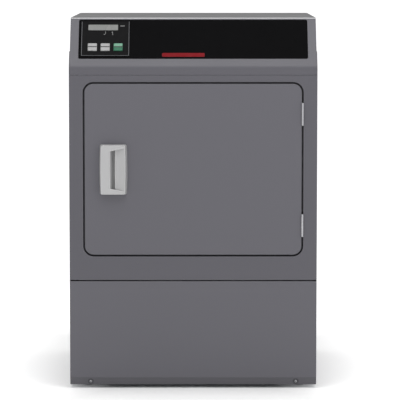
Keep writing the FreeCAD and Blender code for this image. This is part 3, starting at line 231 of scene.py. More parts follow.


# %% [markdown]
# The body paint is a satin dark grey powder coat. Powder melts into a skin with a faint
# orange peel, so a fine noise gives the bump and a coarse one lets the gloss drift. Along
# folded edges the colour is painted lighter as a painted highlight, found by a rounded-edge
# test.

# %% Grey body paint
TONE_DRIFT, EDGE_HIGHLIGHT_LIFT = 1, 45


def powder_coat(name, red, green, blue, specular=0.35):
    """A satin coat of one tone that drifts a little and is lighter along its edges."""
    def lifted(amount):
        return tone(red + amount, green + amount, blue + amount)

    coat = Finish(name, specular=specular)
    plain = coat.blend(coat.noise(2.5), lifted(-TONE_DRIFT), lifted(TONE_DRIFT))
    # The lighter tone along the edges is a painted highlight.
    coat.colour(coat.blend(coat.edge_highlight_mask(0.0012, 0.0, 0.35), plain, lifted(EDGE_HIGHLIGHT_LIFT)))
    coat.rough(coat.between(coat.noise(14), 0.41, 0.44))
    coat.relief(coat.noise(700, 2), 0.00012, 0.35, corner=0.0008)
    return coat


body_grey = powder_coat("body_grey_powder_coat", 82, 81, 87)
paint(body_grey, "left_side_panel", "right_side_panel", "front_panel", "console_trim")
# The top panel gets a darker copy of the body grey: painted shade on the top.
top_shaded_grey = powder_coat("top_grey_powder_coat", 57, 56, 59)
paint(top_shaded_grey, "top_panel")
door_grey = powder_coat("door_grey_powder_coat", 88, 87, 93)
paint(door_grey, "door_outer_panel")
lower_grey = powder_coat("lower_grey_powder_coat", 88, 87, 93)
paint(lower_grey, "lower_access_panel")

# %% [markdown]
# The lower panel's foot is bent in under the front as a narrow band that faces a little
# down, and that band is painted darker as painted shade. The height above the floor picks
# the tone, with a crisp step at the bend.

# %% The band's painted shade
BAND_TOP, STEP_BELOW, STEP_ABOVE = 0.031, 0.0008, 0.0004
above_shaded_band = lower_grey.between(lower_grey.along("Z"), 0, 1,
                                BAND_TOP - STEP_BELOW, BAND_TOP + STEP_ABOVE)
painted = lower_grey.shader.inputs["Base Color"].links[0].from_socket
# Below the band's top, the colour (82, 81, 86) is painted shade.
lower_grey.colour(lower_grey.blend(above_shaded_band, tone(82, 81, 86), painted))
print("the band ends", BAND_TOP, "above the floor")

# %% [markdown]
# The door's inside is baked white enamel: smoother than powder, and slightly warm.

# %% White enamel
enamel = Finish("white_baked_enamel", specular=0.5)
enamel.colour(enamel.blend(enamel.noise(3), tone(205, 205, 201), tone(213, 213, 210)))
enamel.rough(enamel.between(enamel.noise(30), 0.22, 0.32))
enamel.relief(enamel.noise(900, 2), 0.00008, 0.3, corner=0.0008)
paint(enamel, "door_inner_liner")

# %% [markdown]
# Hidden sheet is hot-dip galvanised. Zinc freezes in flat crystals called spangle, a few
# millimetres to a centimetre across, each with its own shade. A Voronoi texture gives each
# cell one random value, which sets both its colour and its gloss.

# %% Galvanised sheet
zinc = Finish("galvanised_spangle", metallic=0.9)
cells = zinc.node("ShaderNodeTexVoronoi", feature="F1")
cells.inputs["Scale"].default_value = 160
cells.inputs["Randomness"].default_value = 1.0
zinc.wire(zinc.place, cells.inputs["Vector"])
split = zinc.node("ShaderNodeSeparateColor")
zinc.wire(cells.outputs["Color"], split.inputs["Color"])
spangle = split.outputs["Red"]
zinc.colour(zinc.blend(spangle, tone(166, 169, 173), tone(186, 189, 193)))
zinc.rough(zinc.between(spangle, 0.40, 0.50, 0, 1))
zinc.relief(zinc.noise(260, 4), 0.0002, 0.25, corner=0.0006)
paint(zinc, "rear_panel", "rear_access_cover", "base_pan", "front_bulkhead", "rear_bulkhead",
      "heater_duct", "exhaust_elbow", "exhaust_pipe", "lint_duct", "motor_mount",
      "terminal_cover", "door_catch", "idler_arm")

# %% [markdown]
# The drum is rolled from zinc-coated sheet. The mill's marks run along Y, so this noise is
# stretched along Y by a small scale there. Clothes polish the metal in patches, which a
# broader noise lays over the gloss.

# %% Drum metal
drum_zinc = Finish("drum_satin_zinc", metallic=0.95)
rolling = drum_zinc.noise(420, 3, (1, 0.03, 1))
polish = drum_zinc.noise(9, 3)
drum_zinc.colour(drum_zinc.blend(rolling, tone(184, 186, 189), tone(206, 208, 210)))
drum_zinc.rough(drum_zinc.between(polish, 0.26, 0.42))
drum_zinc.relief(rolling, 0.00015, 0.3, corner=0.0006)
paint(drum_zinc, "drum_shell")

# %% [markdown]
# Hinges, screws, shafts and feet are bright plated steel. Turning and tumbling leave fine
# scratches, and dirt dulls them in spots.

# %% Plated steel
plated = Finish("bright_plated_steel", metallic=1.0)
scratches = plated.noise(900, 4, (1, 1, 0.08))
plated.colour(plated.blend(plated.noise(120), tone(160, 160, 164), tone(186, 186, 189)))
plated.rough(plated.between(scratches, 0.22, 0.4))
plated.relief(scratches, 0.0001, 0.25, corner=0.0004)
paint(plated, "door_hinge_upper", "door_hinge_lower", "frame_hinge_upper",
      "frame_hinge_lower", "door_strike", "motor_shaft", "motor_pulley", "foot_front_left",
      "foot_front_right", "foot_rear_left", "foot_rear_right")

# %% [markdown]
# The console's insert is a black printed overlay. It hardly mirrors anything, so its
# specular level is low, and a very fine grain breaks up what is left.

# %% Black console overlay
overlay = Finish("black_printed_overlay", specular=0.01)
overlay.colour(overlay.blend(overlay.noise(6), tone(9, 9, 10), tone(12, 12, 13)))
overlay.rough(overlay.between(overlay.noise(60), 0.32, 0.42))
overlay.relief(overlay.noise(1500, 2), 0.00005, 0.3, corner=0.0004)
paint(overlay, "console_fascia")
module_black = Finish("black_module_moulding", specular=0.04)
module_black.colour(module_black.blend(module_black.noise(9), tone(12, 12, 13),
                                       tone(17, 17, 18)))
module_black.rough(module_black.between(module_black.noise(90), 0.4, 0.5))
module_black.relief(module_black.noise(1100, 2), 0.00006, 0.4, corner=0.0004)
paint(module_black, "control_module")

# %% [markdown]
# The display is a grey liquid-crystal window. Its dots show as a fine grid when it is off,
# which two crossed wave textures draw, faint enough to be seen only from near.

# %% Display window
def crossed_lines(finish, scale, operation):
    """Bands along X and bands along Z, put together by one operation."""
    bands = []
    for direction in "XZ":
        wave = finish.node("ShaderNodeTexWave", wave_type="BANDS", bands_direction=direction)
        wave.inputs["Scale"].default_value = scale
        finish.wire(finish.place, wave.inputs["Vector"])
        bands.append(wave.outputs["Fac"])
    return finish.maths(operation, *bands)


display = Finish("grey_display_window", specular=0.3)
dots = crossed_lines(display, 150, "MULTIPLY")
display.colour(display.blend(dots, tone(106, 107, 105), tone(92, 93, 91)))
display.rough(display.between(display.noise(50), 0.2, 0.3))
paint(display, "display_window")

# %% [markdown]
# The keys are moulded plastic with a fine etched texture, two pale and one green.

# %% Key plastics
def moulded(name, first, second, grain=900, rough=(0.42, 0.55), specular=0.4, corner=0.0005):
    """A moulded plastic: two near tones, an etched grain and soft corners."""
    plastic = Finish(name, specular=specular)
    plastic.colour(plastic.blend(plastic.noise(12), tone(*first), tone(*second)))
    plastic.rough(plastic.between(plastic.noise(80), *rough))
    plastic.relief(plastic.noise(grain, 3), 0.0001, 0.4, corner=corner)
    return plastic


pale_key = moulded("pale_key_plastic", (140, 140, 139), (150, 150, 150))
green_key = moulded("green_key_plastic", (1, 82, 54), (3, 92, 62))
paint(pale_key, "key_1", "key_2")
paint(green_key, "key_3")

# %% [markdown]
# Other mouldings are the grey baffles and filter frame, and the black fan and its housing,
# the pulley, the switch and the wiring's sleeve.

# %% Grey and black mouldings
grey_moulding = moulded("grey_moulding", (166, 167, 168), (178, 179, 180))
paint(grey_moulding, "drum_baffle_1", "drum_baffle_2", "drum_baffle_3",
      "lint_filter_frame")
black_moulding = moulded("black_moulding", (30, 30, 31), (40, 40, 41), 700)
paint(black_moulding, "blower_housing", "blower_wheel", "idler_pulley", "wiring_harness",
      "door_switch_body", "door_switch_plunger")

# %% [markdown]
# Rubber is matt and slightly dusty. One finish serves the belt, the gasket and the drum
# rollers, and a broad noise lays the dust on.

# %% Black rubber
rubber = Finish("black_rubber", specular=0.25)
dust = rubber.noise(22, 5)
rubber.colour(rubber.blend(dust, tone(28, 28, 28), tone(52, 51, 49)))
rubber.rough(rubber.between(dust, 0.62, 0.85))
rubber.relief(rubber.noise(600, 4), 0.0002, 0.5)
paint(rubber, "door_gasket", "drum_roller_left", "drum_roller_right", "drive_belt")

# %% [markdown]
# The drum's seals are pressed wool felt. Fibres show as a tangled noise with deep relief,
# and a sheen on the shader catches light on their tips.

# %% Pressed felt
felt = Finish("pressed_wool_felt", specular=0.1)
fibres = felt.noise(480, 8)
felt.colour(felt.blend(fibres, tone(142, 138, 130), tone(186, 182, 174)))
felt.rough(felt.between(fibres, 0.85, 1.0))
felt.shader.inputs["Sheen Weight"].default_value = 0.35
felt.shader.inputs["Sheen Roughness"].default_value = 0.5
felt.relief(fibres, 0.0012, 0.8)
paint(felt, "front_felt_seal", "rear_felt_seal")

# %% [markdown]
# The lint screen is woven monofilament. Two crossed waves make the weave. They also drive
# the relief, so the threads stand up.

# %% Woven screen
mesh_cloth = Finish("woven_lint_screen", specular=0.3)
weave = crossed_lines(mesh_cloth, 240, "MAXIMUM")
mesh_cloth.colour(mesh_cloth.blend(weave, tone(70, 70, 68), tone(206, 205, 198)))
mesh_cloth.rough(mesh_cloth.between(weave, 0.8, 0.5))
mesh_cloth.relief(weave, 0.0004, 0.7)
paint(mesh_cloth, "lint_screen")

# %% [markdown]
# Last come the motor's black enamel, the heater's heat-tinted alloy, and the circuit
# board's green mask with copper tracks that show through as lighter lines.

# %% Motor, heater and board
motor_enamel = Finish("motor_black_enamel", specular=0.45)
motor_enamel.colour(motor_enamel.blend(motor_enamel.noise(18, 5), tone(30, 30, 33),
                                       tone(44, 44, 47)))
motor_enamel.rough(motor_enamel.between(motor_enamel.noise(40), 0.3, 0.5))
motor_enamel.relief(motor_enamel.noise(300, 4), 0.0003, 0.3, corner=0.001)
paint(motor_enamel, "motor_body")
heat_tint = Finish("heat_tinted_alloy", metallic=0.9)
heat = heat_tint.noise(14, 4)
heat_tint.colour(heat_tint.blend(heat, tone(128, 118, 104), tone(108, 104, 122)))
heat_tint.rough(heat_tint.between(heat, 0.4, 0.6))
heat_tint.relief(heat_tint.noise(500, 3), 0.0002, 0.3)
paint(heat_tint, "heater_element")
board = Finish("green_circuit_board", specular=0.5)
tracks = board.node("ShaderNodeTexBrick")
for key, value in (("Scale", 120), ("Mortar Size", 0.05), ("Color1", tone(18, 84, 48)),
                   ("Color2", tone(24, 96, 56)), ("Mortar", tone(74, 138, 84))):
    tracks.inputs[key].default_value = value
board.wire(board.place, tracks.inputs["Vector"])
board.colour(tracks.outputs["Color"])
board.rough(board.between(board.noise(60), 0.25, 0.4))
paint(board, "control_board")

# %% [markdown]
# The new pieces are drawn with bmesh. Flat pieces start as a rounded outline that is pushed
# into a plate, and round ones are a profile turned about an axis. Both take a matrix that
# stands them where they belong, so each is drawn flat, once, in its own simple coordinates.

# %% Outlines, plates and turned parts
def rounded_outline(width, height, corner, steps=6):
    """Points round a rounded rectangle about the origin."""
    points = []
    for across, up, start in ((1, 1, 0), (-1, 1, 90), (-1, -1, 180), (1, -1, 270)):
        for step in range(steps + 1):
            angle = math.radians(start + 90 * step / steps)
            points.append((across * (width / 2 - corner) + corner * math.cos(angle),
                           up * (height / 2 - corner) + corner * math.sin(angle)))
    return points


def wall(mesh, first, second):
    """Faces between two rings with the same number of points."""
    for i in range(len(first)):
        j = (i + 1) % len(first)
        mesh.faces.new((first[i], first[j], second[j], second[i]))


def plate(outline, low, high, place=Matrix(), mesh=None, taper=1.0):
    """A plate between two heights. The upper face is scaled by the taper."""
    mesh = mesh or bmesh.new()
    rings = [[mesh.verts.new(place @ Vector((x * scale, y * scale, z)))
              for x, y in outline] for z, scale in ((low, 1.0), (high, taper))]
    mesh.faces.new(rings[0][::-1])
    mesh.faces.new(rings[1])
    wall(mesh, *rings)
    return mesh


def turned_part(profile, place=Matrix(), mesh=None, sides=32):
    """A profile of (radius, height) points turned about Z. A radius of 0 closes it."""
    mesh = mesh or bmesh.new()
    rings = []
    for radius, height in profile:
        if radius == 0:
            rings.append([mesh.verts.new(place @ Vector((0, 0, height)))])
        else:
            rings.append([mesh.verts.new(place @ Vector((
                radius * math.cos(math.tau * k / sides),
                radius * math.sin(math.tau * k / sides), height))) for k in range(sides)])
    for low, high in zip(rings, rings[1:]):
        for k in range(sides):
            corners = [low[k % len(low)], low[(k + 1) % sides % len(low)],
                       high[(k + 1) % sides % len(high)], high[k % len(high)]]
            mesh.faces.new(list(dict.fromkeys(corners)))
    return mesh


# %% [markdown]
# Everything on the console lies on its slope, so one matrix describes that slope: X across,
# Y up the slope, and Z straight out of it. The slope starts where the console bends back
# from the front, and its tilt is the same as in the model.

# %% The console's slope
front_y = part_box("front_panel")[0].y
console_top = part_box("console_trim")[1].z
CONSOLE_RISE = 0.1335
CONSOLE_TILT = math.radians(34.3)
slope = (Matrix.Translation((0, front_y, console_top - CONSOLE_RISE))
         @ Matrix.Rotation(math.pi / 2 - CONSOLE_TILT, 4, "X"))


def on_slope(across, up, out):
    """The matrix of one spot on the slope."""
    return slope @ Matrix.Translation((across, up, out))


print("console tilt", round(math.degrees(CONSOLE_TILT), 1), "degrees")

# %% [markdown]
# The overlay has a plain red strip where makers put a name. Here it is only a strip, with
# a slightly crowned top, and carries no lettering.

# %% Red badge strip
FASCIA_FACE = -0.0003
BADGE_WIDTH, BADGE_HEIGHT, BADGE_CORNER, BADGE_THICK = 0.118, 0.0125, 0.003, 0.0007
BADGE_ACROSS, BADGE_UP, BADGE_TAPER = -0.027, 0.0395, 0.985
badge_red = moulded("red_badge_strip", (106, 10, 18), (116, 13, 22), 1200, specular=0.08)
badge = plate(rounded_outline(BADGE_WIDTH, BADGE_HEIGHT, BADGE_CORNER), 0, BADGE_THICK,
              on_slope(BADGE_ACROSS, BADGE_UP, FASCIA_FACE), taper=BADGE_TAPER)
add_piece("red_badge", badge, badge_red, "cabinet")
print("badge strip", BADGE_WIDTH, "by", BADGE_HEIGHT)

# %% [markdown]
# Along the console's rounded nose lies a slim pale satin bead. Its pale colour paints the
# bright line that the nose's highlight makes from in front, so it is a painted highlight. It
# follows the nose's arc, so it is an arc of points swept across the console.

# %% Painted highlight bead on the nose
NOSE_RADIUS, BEAD_THICK, BEAD_STEPS = 0.011, 0.0004, 8
BEAD_FROM, BEAD_TO = math.radians(47), math.radians(71)
nose_z = console_top - NOSE_RADIUS
nose_y = (front_y + CONSOLE_RISE * math.tan(CONSOLE_TILT)
          + NOSE_RADIUS * (1 - math.sin(CONSOLE_TILT)) / math.cos(CONSOLE_TILT))
trim_low, trim_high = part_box("console_trim")
bead = bmesh.new()
bead_rings = []
for x in (trim_low.x, trim_high.x):
    arc = []
    for radius, order in ((NOSE_RADIUS + BEAD_THICK, 1), (NOSE_RADIUS - BEAD_THICK, -1)):
        for step in range(BEAD_STEPS + 1)[::order]:
            angle = BEAD_FROM + (BEAD_TO - BEAD_FROM) * step / BEAD_STEPS
            arc.append(bead.verts.new((x, nose_y - radius * math.cos(angle),
                                       nose_z + radius * math.sin(angle))))
    bead_rings.append(arc)
wall(bead, *bead_rings)
for arc in bead_rings:
    bead.faces.new(arc)
# The bead's pale tone is a painted highlight.
highlight_bead_satin = Finish("bead_satin_aluminium", metallic=0.8)
highlight_bead_satin.colour(highlight_bead_satin.blend(highlight_bead_satin.noise(300, 3, (0.02, 1, 1)),
                                   tone(196, 196, 198), tone(214, 214, 216)))
highlight_bead_satin.rough(highlight_bead_satin.between(highlight_bead_satin.noise(60), 0.3, 0.4))
add_piece("console_highlight_bead", bead, highlight_bead_satin, "cabinet")
print("nose centre", round(nose_y, 4), round(nose_z, 4))

# %% [markdown]
# A thin pale line runs down both sides and along the foot of the control module, where its
# moulded rim catches the light. It is drawn as three slim bars that lie on the rim.

# %% Pale rim of the control module
MODULE_RIM = 0.0011
RIM_UP, RIM_LENGTH, RIM_LINE, RIM_CORNER, RIM_THICK = 0.092, 0.113, 0.0014, 0.0005, 0.0004
FOOT_LINE, FOOT_CORNER, FOOT_THICK = RIM_LINE * 0.75, 0.0004, 0.0003
rim_tone = moulded("pale_module_rim", (84, 85, 88), (92, 93, 96), specular=0.2)
module_low, module_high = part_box("control_module")
rim_width = module_high.x - module_low.x
rim_middle = (module_high.x + module_low.x) / 2
rim = bmesh.new()
for side in (-1, 1):
    across = rim_middle + side * (rim_width / 2 - RIM_LINE)
    plate(rounded_outline(RIM_LINE, RIM_LENGTH - 2 * RIM_LINE, RIM_CORNER), 0, RIM_THICK,
          on_slope(across, RIM_UP, MODULE_RIM), rim)
plate(rounded_outline(rim_width - 2 * RIM_LINE, FOOT_LINE, FOOT_CORNER), 0, FOOT_THICK,
      on_slope(rim_middle, RIM_UP - RIM_LENGTH / 2 + RIM_LINE, MODULE_RIM), rim)
add_piece("module_rim_line", rim, rim_tone, "cabinet")
print("module rim", round(rim_width, 4), "by", RIM_LENGTH)

# %% [markdown]
# Each key carries two raised bars with a dark groove between them. The bars ride on the
# key's own body, so they go down with it when it is pressed. The green key's upper bar is
# pale, as a clear window over a lamp is.

# %% Bars on the keys
KEY_FACE, KEY_LOW, KEY_HEIGHT, KEY_INSET = 0.0018, 0.052, 0.024, 0.0012
GROOVE_HIGH, GROOVE_CORNER, GROOVE_PROUD, GROOVE_AT = 0.0032, 0.0003, 0.0002, 0.54
BAR_CORNER, BAR_PROUD, BAR_TAPER, BAR_EDGE = 0.0014, 0.0006, 0.97, 0.0002
# Where each bar starts and ends, as shares of the key's height.
BARS = {"lower": (0.02, 0.48), "upper": (0.6, 0.98)}
groove_black = moulded("key_groove_black", (24, 24, 25), (32, 32, 33))
lamp_window = moulded("pale_green_lamp_window", (86, 134, 110), (96, 144, 120))
# For each key, the finishes of its lower and upper bars, and the key's own slot.
key_finish = {1: (pale_key, pale_key, "pale_key"), 2: (pale_key, pale_key, "pale_key"),
              3: (green_key, lamp_window, "green_key")}
for number, (lower, upper, slot) in key_finish.items():
    low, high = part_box("key_%d" % number)
    across, width = (low.x + high.x) / 2, high.x - low.x - KEY_INSET
    groove = plate(rounded_outline(width, GROOVE_HIGH, GROOVE_CORNER), 0, GROOVE_PROUD,
                   on_slope(across, KEY_LOW + KEY_HEIGHT * GROOVE_AT, KEY_FACE))
    add_piece("key_%d_groove" % number, groove, groove_black, "button_%d" % number)
    for name, finish in (("lower", lower), ("upper", upper)):
        start, end = BARS[name]
        up = KEY_LOW + KEY_HEIGHT * (start + end) / 2
        bar = plate(rounded_outline(width, KEY_HEIGHT * (end - start), BAR_CORNER), 0,
                    BAR_PROUD, on_slope(across, up, KEY_FACE), taper=BAR_TAPER)
        add_piece("key_%d_%s_bar" % (number, name), bar, finish, "button_%d" % number,
                  BAR_EDGE)
print("keys with bars:", len(key_finish))

# %% [markdown]
# Beside the display is a small pale strip, and under it two lamp marks: a dot with a bar.
# They are generic, and stand a tenth of a millimetre off the module.

# %% Marks on the module
MODULE_FACE, MARK_CORNER, MARK_THICK, MARK_STEPS = 0.0005, 0.0005, 0.00015, 3
mark_pale = moulded("pale_printed_mark", (112, 112, 112), (124, 124, 124))
# Across, up, width and height of each mark.
MARKS = ((-0.1955, 0.1335, 0.012, 0.0022), (-0.2425, 0.111, 0.0014, 0.009),
         (-0.2455, 0.106, 0.003, 0.0022), (-0.2235, 0.113, 0.003, 0.003),
         (-0.2225, 0.107, 0.0014, 0.006))
marks = bmesh.new()
for across, up, width, height in MARKS:
    plate(rounded_outline(width, height, MARK_CORNER, MARK_STEPS), 0, MARK_THICK,
          on_slope(across, up, MODULE_FACE), marks)
add_piece("module_marks", marks, mark_pale, "cabinet")
print("marks:", len(MARKS))

# %% [markdown]
# The pull is one moulding: a plate with a finger slot. Under the plate's edge the slot is
# deep, and from its floor a ramp comes up to a rim on the right, so fingers slide in behind
# the edge. Its profile is a list of stations across the pull. Each station has a depth and
# its own two ends, and the ends spread towards the rim, which gives the slanted corners.

# %% Profile of the pull
LIP_FRONT, LIP_EDGE = -0.2292, -0.2245
LIP_SLOPE, LIP_WALL = 0.009, 0.011
POCKET_LEFT, RAMP_FOOT, RAMP_TOP = -0.2435, -0.2158, -0.1885
FLOOR_DEEP, RAMP_DEEP, RAMP_CURVE, RAMP_STEPS = 0.012, 0.010, 1.6, 8
SLOT_LOW, SLOT_HIGH, FLARE = 0.5545, 0.6640, 0.0060
# How far the ends spread at the lip, in the pocket and at the ramp's foot, in flares.
LIP_SPREAD, POCKET_SPREAD, FOOT_SPREAD, RAMP_LEAD = -0.6, -0.3, 0.1, 0.003
pull_low, pull_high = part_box("door_pull")
pull_front, pull_floor = pull_low.y, front_y + FLOOR_DEEP
# Each station is its place across, its depth and the spread of its ends.
stations = [
    (LIP_FRONT, pull_front, LIP_SPREAD),
    (LIP_EDGE, pull_front + LIP_SLOPE, POCKET_SPREAD),
    (LIP_EDGE, pull_front + LIP_WALL, POCKET_SPREAD),
    (POCKET_LEFT, pull_front + LIP_WALL, POCKET_SPREAD),
    (POCKET_LEFT, pull_floor, POCKET_SPREAD),
    (RAMP_FOOT - RAMP_LEAD, pull_floor, 0.0),
    (RAMP_FOOT, pull_front + RAMP_DEEP, FOOT_SPREAD),
]
for step in range(1, RAMP_STEPS + 1):
    share = step / RAMP_STEPS
    stations.append((RAMP_FOOT + (RAMP_TOP - RAMP_FOOT) * share,
                     pull_front + RAMP_DEEP * (1 - share ** RAMP_CURVE),
                     FOOT_SPREAD + (1 - FOOT_SPREAD) * share))
print("pull stations:", len(stations))

# %% [markdown]
# The slot's walls run between stations. The plate round it is a filled ring between an
# outer outline, whose long sides bow out a little, and the slot's edge. Flanks slope back
# to the door, and a closed cup goes through the door's skin. So the moulding is one closed
# shape, and a Bevel modifier rounds its edges.

# %% The pull's mesh
def bowed_outline(left, right, low, high, bow, corner, steps=12):
    """A rounded outline whose left and right sides bow outwards."""
    middle_x, middle_z = (left + right) / 2, (low + high) / 2
    points = rounded_outline(right - left, high - low, corner, 4)
    dense = []
    for (x0, z0), (x1, z1) in zip(points, points[1:] + points[:1]):
        count = steps if abs(z1 - z0) > corner * 2 else 1
        dense += [(x0 + (x1 - x0) * k / count, z0 + (z1 - z0) * k / count)
                  for k in range(count)]
    half = (high - low) / 2
    return [(middle_x + x + math.copysign(bow * (1 - (z / half) ** 2), x), middle_z + z)
            for x, z in dense]


def ring_of(outline, y):
    """An outline of X and Z as new points of the pull, at one depth."""
    return [pull.verts.new((x, y, z)) for x, z in outline]


def fill_between(first, second):
    """Flat faces between two rings, one inside the other."""
    edges = []
    for ring in (first, second):
        for a, b in zip(ring, ring[1:] + ring[:1]):
            edges.append(pull.edges.get((a, b)) or pull.edges.new((a, b)))
    bmesh.ops.triangle_fill(pull, use_beauty=True, use_dissolve=False, edges=edges)


pull = bmesh.new()
rows = [(pull.verts.new((x, y, SLOT_LOW - FLARE * share)),
         pull.verts.new((x, y, SLOT_HIGH + FLARE * share))) for x, y, share in stations]
for (low_a, high_a), (low_b, high_b) in zip(rows, rows[1:]):
    pull.faces.new((low_a, low_b, high_b, high_a))
for end in (0, 1):
    pull.faces.new([row[end] for row in rows])
slot_ring = [rows[0][0], rows[-1][0], rows[-1][1], rows[0][1]]

CUP_LEFT, CUP_RIGHT, CUP_LOW, CUP_HIGH, CUP_WALL = -0.2452, -0.2036, 0.5515, 0.667, 0.0016
cup_outline = [(CUP_LEFT, CUP_LOW), (CUP_RIGHT, CUP_LOW), (CUP_RIGHT, CUP_HIGH),
               (CUP_LEFT, CUP_HIGH)]
# The face lies inside the pull's box by three margins. The base, on the door, is wider.
FACE_LEFT, FACE_RIGHT, FACE_END, FACE_BOW, FACE_CORNER = 0.0028, 0.003, 0.002, 0.0012, 0.004
BASE_LEFT, BASE_RIGHT, BASE_BOW, BASE_CORNER = 0.0002, 0.0014, 0.0018, 0.005
face_outline = bowed_outline(pull_low.x + FACE_LEFT, pull_high.x - FACE_RIGHT,
                             pull_low.z + FACE_END, pull_high.z - FACE_END,
                             FACE_BOW, FACE_CORNER)
base_outline = bowed_outline(pull_low.x - BASE_LEFT, pull_high.x + BASE_RIGHT,
                             pull_low.z, pull_high.z, BASE_BOW, BASE_CORNER)
face_ring, base_ring = ring_of(face_outline, pull_front), ring_of(base_outline, front_y)
cup_edge = ring_of(cup_outline, front_y)
cup_back = ring_of(cup_outline, pull_floor + CUP_WALL)
fill_between(face_ring, slot_ring)
wall(pull, base_ring, face_ring)
fill_between(base_ring, cup_edge)
wall(pull, cup_edge, cup_back)
pull.faces.new(cup_back)
print("points in the pull:", len(pull.verts))

# %% [markdown]
# The pull is a silver-grey moulding. Its flow marks are a noise that is stretched along Z,
# and its edges are painted paler, a painted highlight where the rims catch the light. It
# takes the place of the model's pull.

# %% The pull's finish
silver = Finish("silver_satin_moulding", metallic=0.25, specular=0.5)
flow = silver.blend(silver.noise(30, 4, (1, 1, 0.1)), tone(160, 160, 160),
                    tone(170, 170, 171))
# The pale tone on the edges is a painted highlight.
silver.colour(silver.blend(silver.edge_highlight_mask(0.0016, 0, 0.9), flow, tone(232, 232, 232)))
silver.rough(silver.between(silver.noise(260, 3, (1, 1, 0.2)), 0.3, 0.42))
silver.relief(silver.noise(1200, 3), 0.00006, 0.4, corner=0.0006)
pull_piece = add_piece("finger_pull", pull, silver, "door", 0.0009)
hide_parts("door_pull")
print("pull reaches", round(pull_front, 4), "and its floor is at", round(pull_floor, 4))

# %% [markdown]
# Screws are pan heads with a cross recess. A turned dome makes the head, and two dark slim
# bars lie in it as the cross: painted shade in place of the recess. One function draws a
# screw in any plane.

# %% Screw heads
REAR_SCREW = 0.0038
# Distance from the axis and height, as shares of the head's radius.
HEAD_PROFILE = ((0, 0), (1, 0), (0.98, 0.25), (0.8, 0.45), (0.45, 0.58), (0, 0.62))
CROSS_LONG, CROSS_WIDE, CROSS_CORNER = 1.1, 0.26, 0.05
CROSS_LOW, CROSS_HIGH, CROSS_TURN, HEAD_SIDES = 0.5, 0.64, 0.4, 20


def screw(heads, recesses, place, radius=REAR_SCREW):
    """A pan head with its crown along the place's Z, and the dark cross in it."""
    turned_part([(radius * out, radius * up) for out, up in HEAD_PROFILE], place, heads,
                HEAD_SIDES)
    bar = rounded_outline(radius * CROSS_LONG, radius * CROSS_WIDE, radius * CROSS_CORNER, 2)
    for turn in (0, math.pi / 2):
        plate(bar, radius * CROSS_LOW, radius * CROSS_HIGH,
              place @ Matrix.Rotation(turn + CROSS_TURN, 4, "Z"), recesses)


def facing(x, y, z, direction):
    """A matrix at a point whose Z looks along a direction."""
    turn = Vector(direction).to_track_quat("Z", "Y").to_matrix().to_4x4()
    return Matrix.Translation((x, y, z)) @ turn


# The dark cross is painted shade standing in for the recess.
recess_painted_shade = moulded("screw_recess_dark", (26, 26, 27), (36, 36, 37))
print("screw head radius", REAR_SCREW)

# %% [markdown]
# The lower band leans in under the front. Its screws sit near both ends, where the sheet is
# dimpled. A dished ring, which is a profile turned about the screw's axis, draws a dimple.

# %% Screws on the lower band
BAND_BACK, SCREW_X, SCREW_Z, BAND_SCREW = 0.006, 0.2845, 0.0195, 0.0036
DIMPLE_PROFILE = [(0, 0.0001), (0.0048, 0.0001), (0.0066, 0.0008), (0.0078, 0.0006),
                  (0.0088, -0.0001)]
band_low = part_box("lower_access_panel")[0]
band_height = BAND_TOP - band_low.z
band_out = Vector((0, -band_height, -BAND_BACK)).normalized()
band_y = front_y + BAND_BACK * (BAND_TOP - SCREW_Z) / band_height
heads, recesses, dimples = bmesh.new(), bmesh.new(), bmesh.new()
for side in (-1, 1):
    place = facing(side * SCREW_X, band_y, SCREW_Z, band_out)
    screw(heads, recesses, place, BAND_SCREW)
    turned_part(DIMPLE_PROFILE, place, dimples)
add_piece("band_screws", heads, plated, "cabinet")
add_piece("band_screw_recesses", recesses, recess_painted_shade, "cabinet")
# The dimples are painted darker than the band: painted shade in the dished sheet.
dimple_shade = powder_coat("dimple_shaded_paint", 62, 61, 66)
add_piece("band_dimples", dimples, dimple_shade, "cabinet")
print("band screws at", round(band_y, 4))

# %% [markdown]
# The back is held by screws round its edge, round the access cover and on the terminal
# cover. Those on the two covers are placed from the covers' boxes, with a margin from
# each edge.

# %% Screws on the back
EDGE_X, EDGE_HEIGHTS = 0.331, (0.06, 0.25, 0.44, 0.63, 0.82, 0.97)
TOP_Z, TOP_PLACES = 0.99, (-0.24, -0.08, 0.08)
COVER_SIDE, COVER_END, BOX_EDGE, BOX_SCREW = 0.01, 0.03, 0.008, 0.003
back_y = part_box("rear_panel")[1].y
cover_low, cover_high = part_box("rear_access_cover")
box_low, box_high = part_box("terminal_cover")
cover_heights = (cover_low.z + COVER_END, (cover_low.z + cover_high.z) / 2,
                 cover_high.z - COVER_END)
spots = [(side * EDGE_X, back_y, z, REAR_SCREW) for side in (-1, 1) for z in EDGE_HEIGHTS]
spots += [(x, back_y, TOP_Z, REAR_SCREW) for x in TOP_PLACES]
spots += [(x, cover_high.y, z, REAR_SCREW)
          for x in (cover_low.x + COVER_SIDE, cover_high.x - COVER_SIDE)
          for z in cover_heights]
spots += [(box_low.x + BOX_EDGE, box_high.y, box_high.z - BOX_EDGE, BOX_SCREW),
          (box_high.x - BOX_EDGE, box_high.y, box_low.z + BOX_EDGE, BOX_SCREW)]
heads, recesses = bmesh.new(), bmesh.new()
for x, y, z, radius in spots:
    screw(heads, recesses, facing(x, y, z, (0, 1, 0)), radius)
add_piece("rear_screws", heads, plated, "cabinet")
add_piece("rear_screw_recesses", recesses, recess_painted_shade, "cabinet")
print("screws on the back:", len(spots))

# %% [markdown]
# Louvres are pressed out over the vent slots, each a slim hood. A hood is a quarter round
# that is drawn at four places across: flat, full, full and flat. Faces join them, and a
# Solidify modifier gives the sheet its thickness.

# %% Louvre hoods on the back
VENT_X, VENT_HALF, VENT_LOW, VENT_PITCH, VENT_ROWS = 0.215, 0.045, 0.610, 0.020, 9
HOOD_DROP, HOOD_OUT, HOOD_LEAST, HOOD_TALL, HOOD_STEPS = 0.004, 0.005, 0.0002, 0.011, 6
HOOD_SHEET = 0.0008
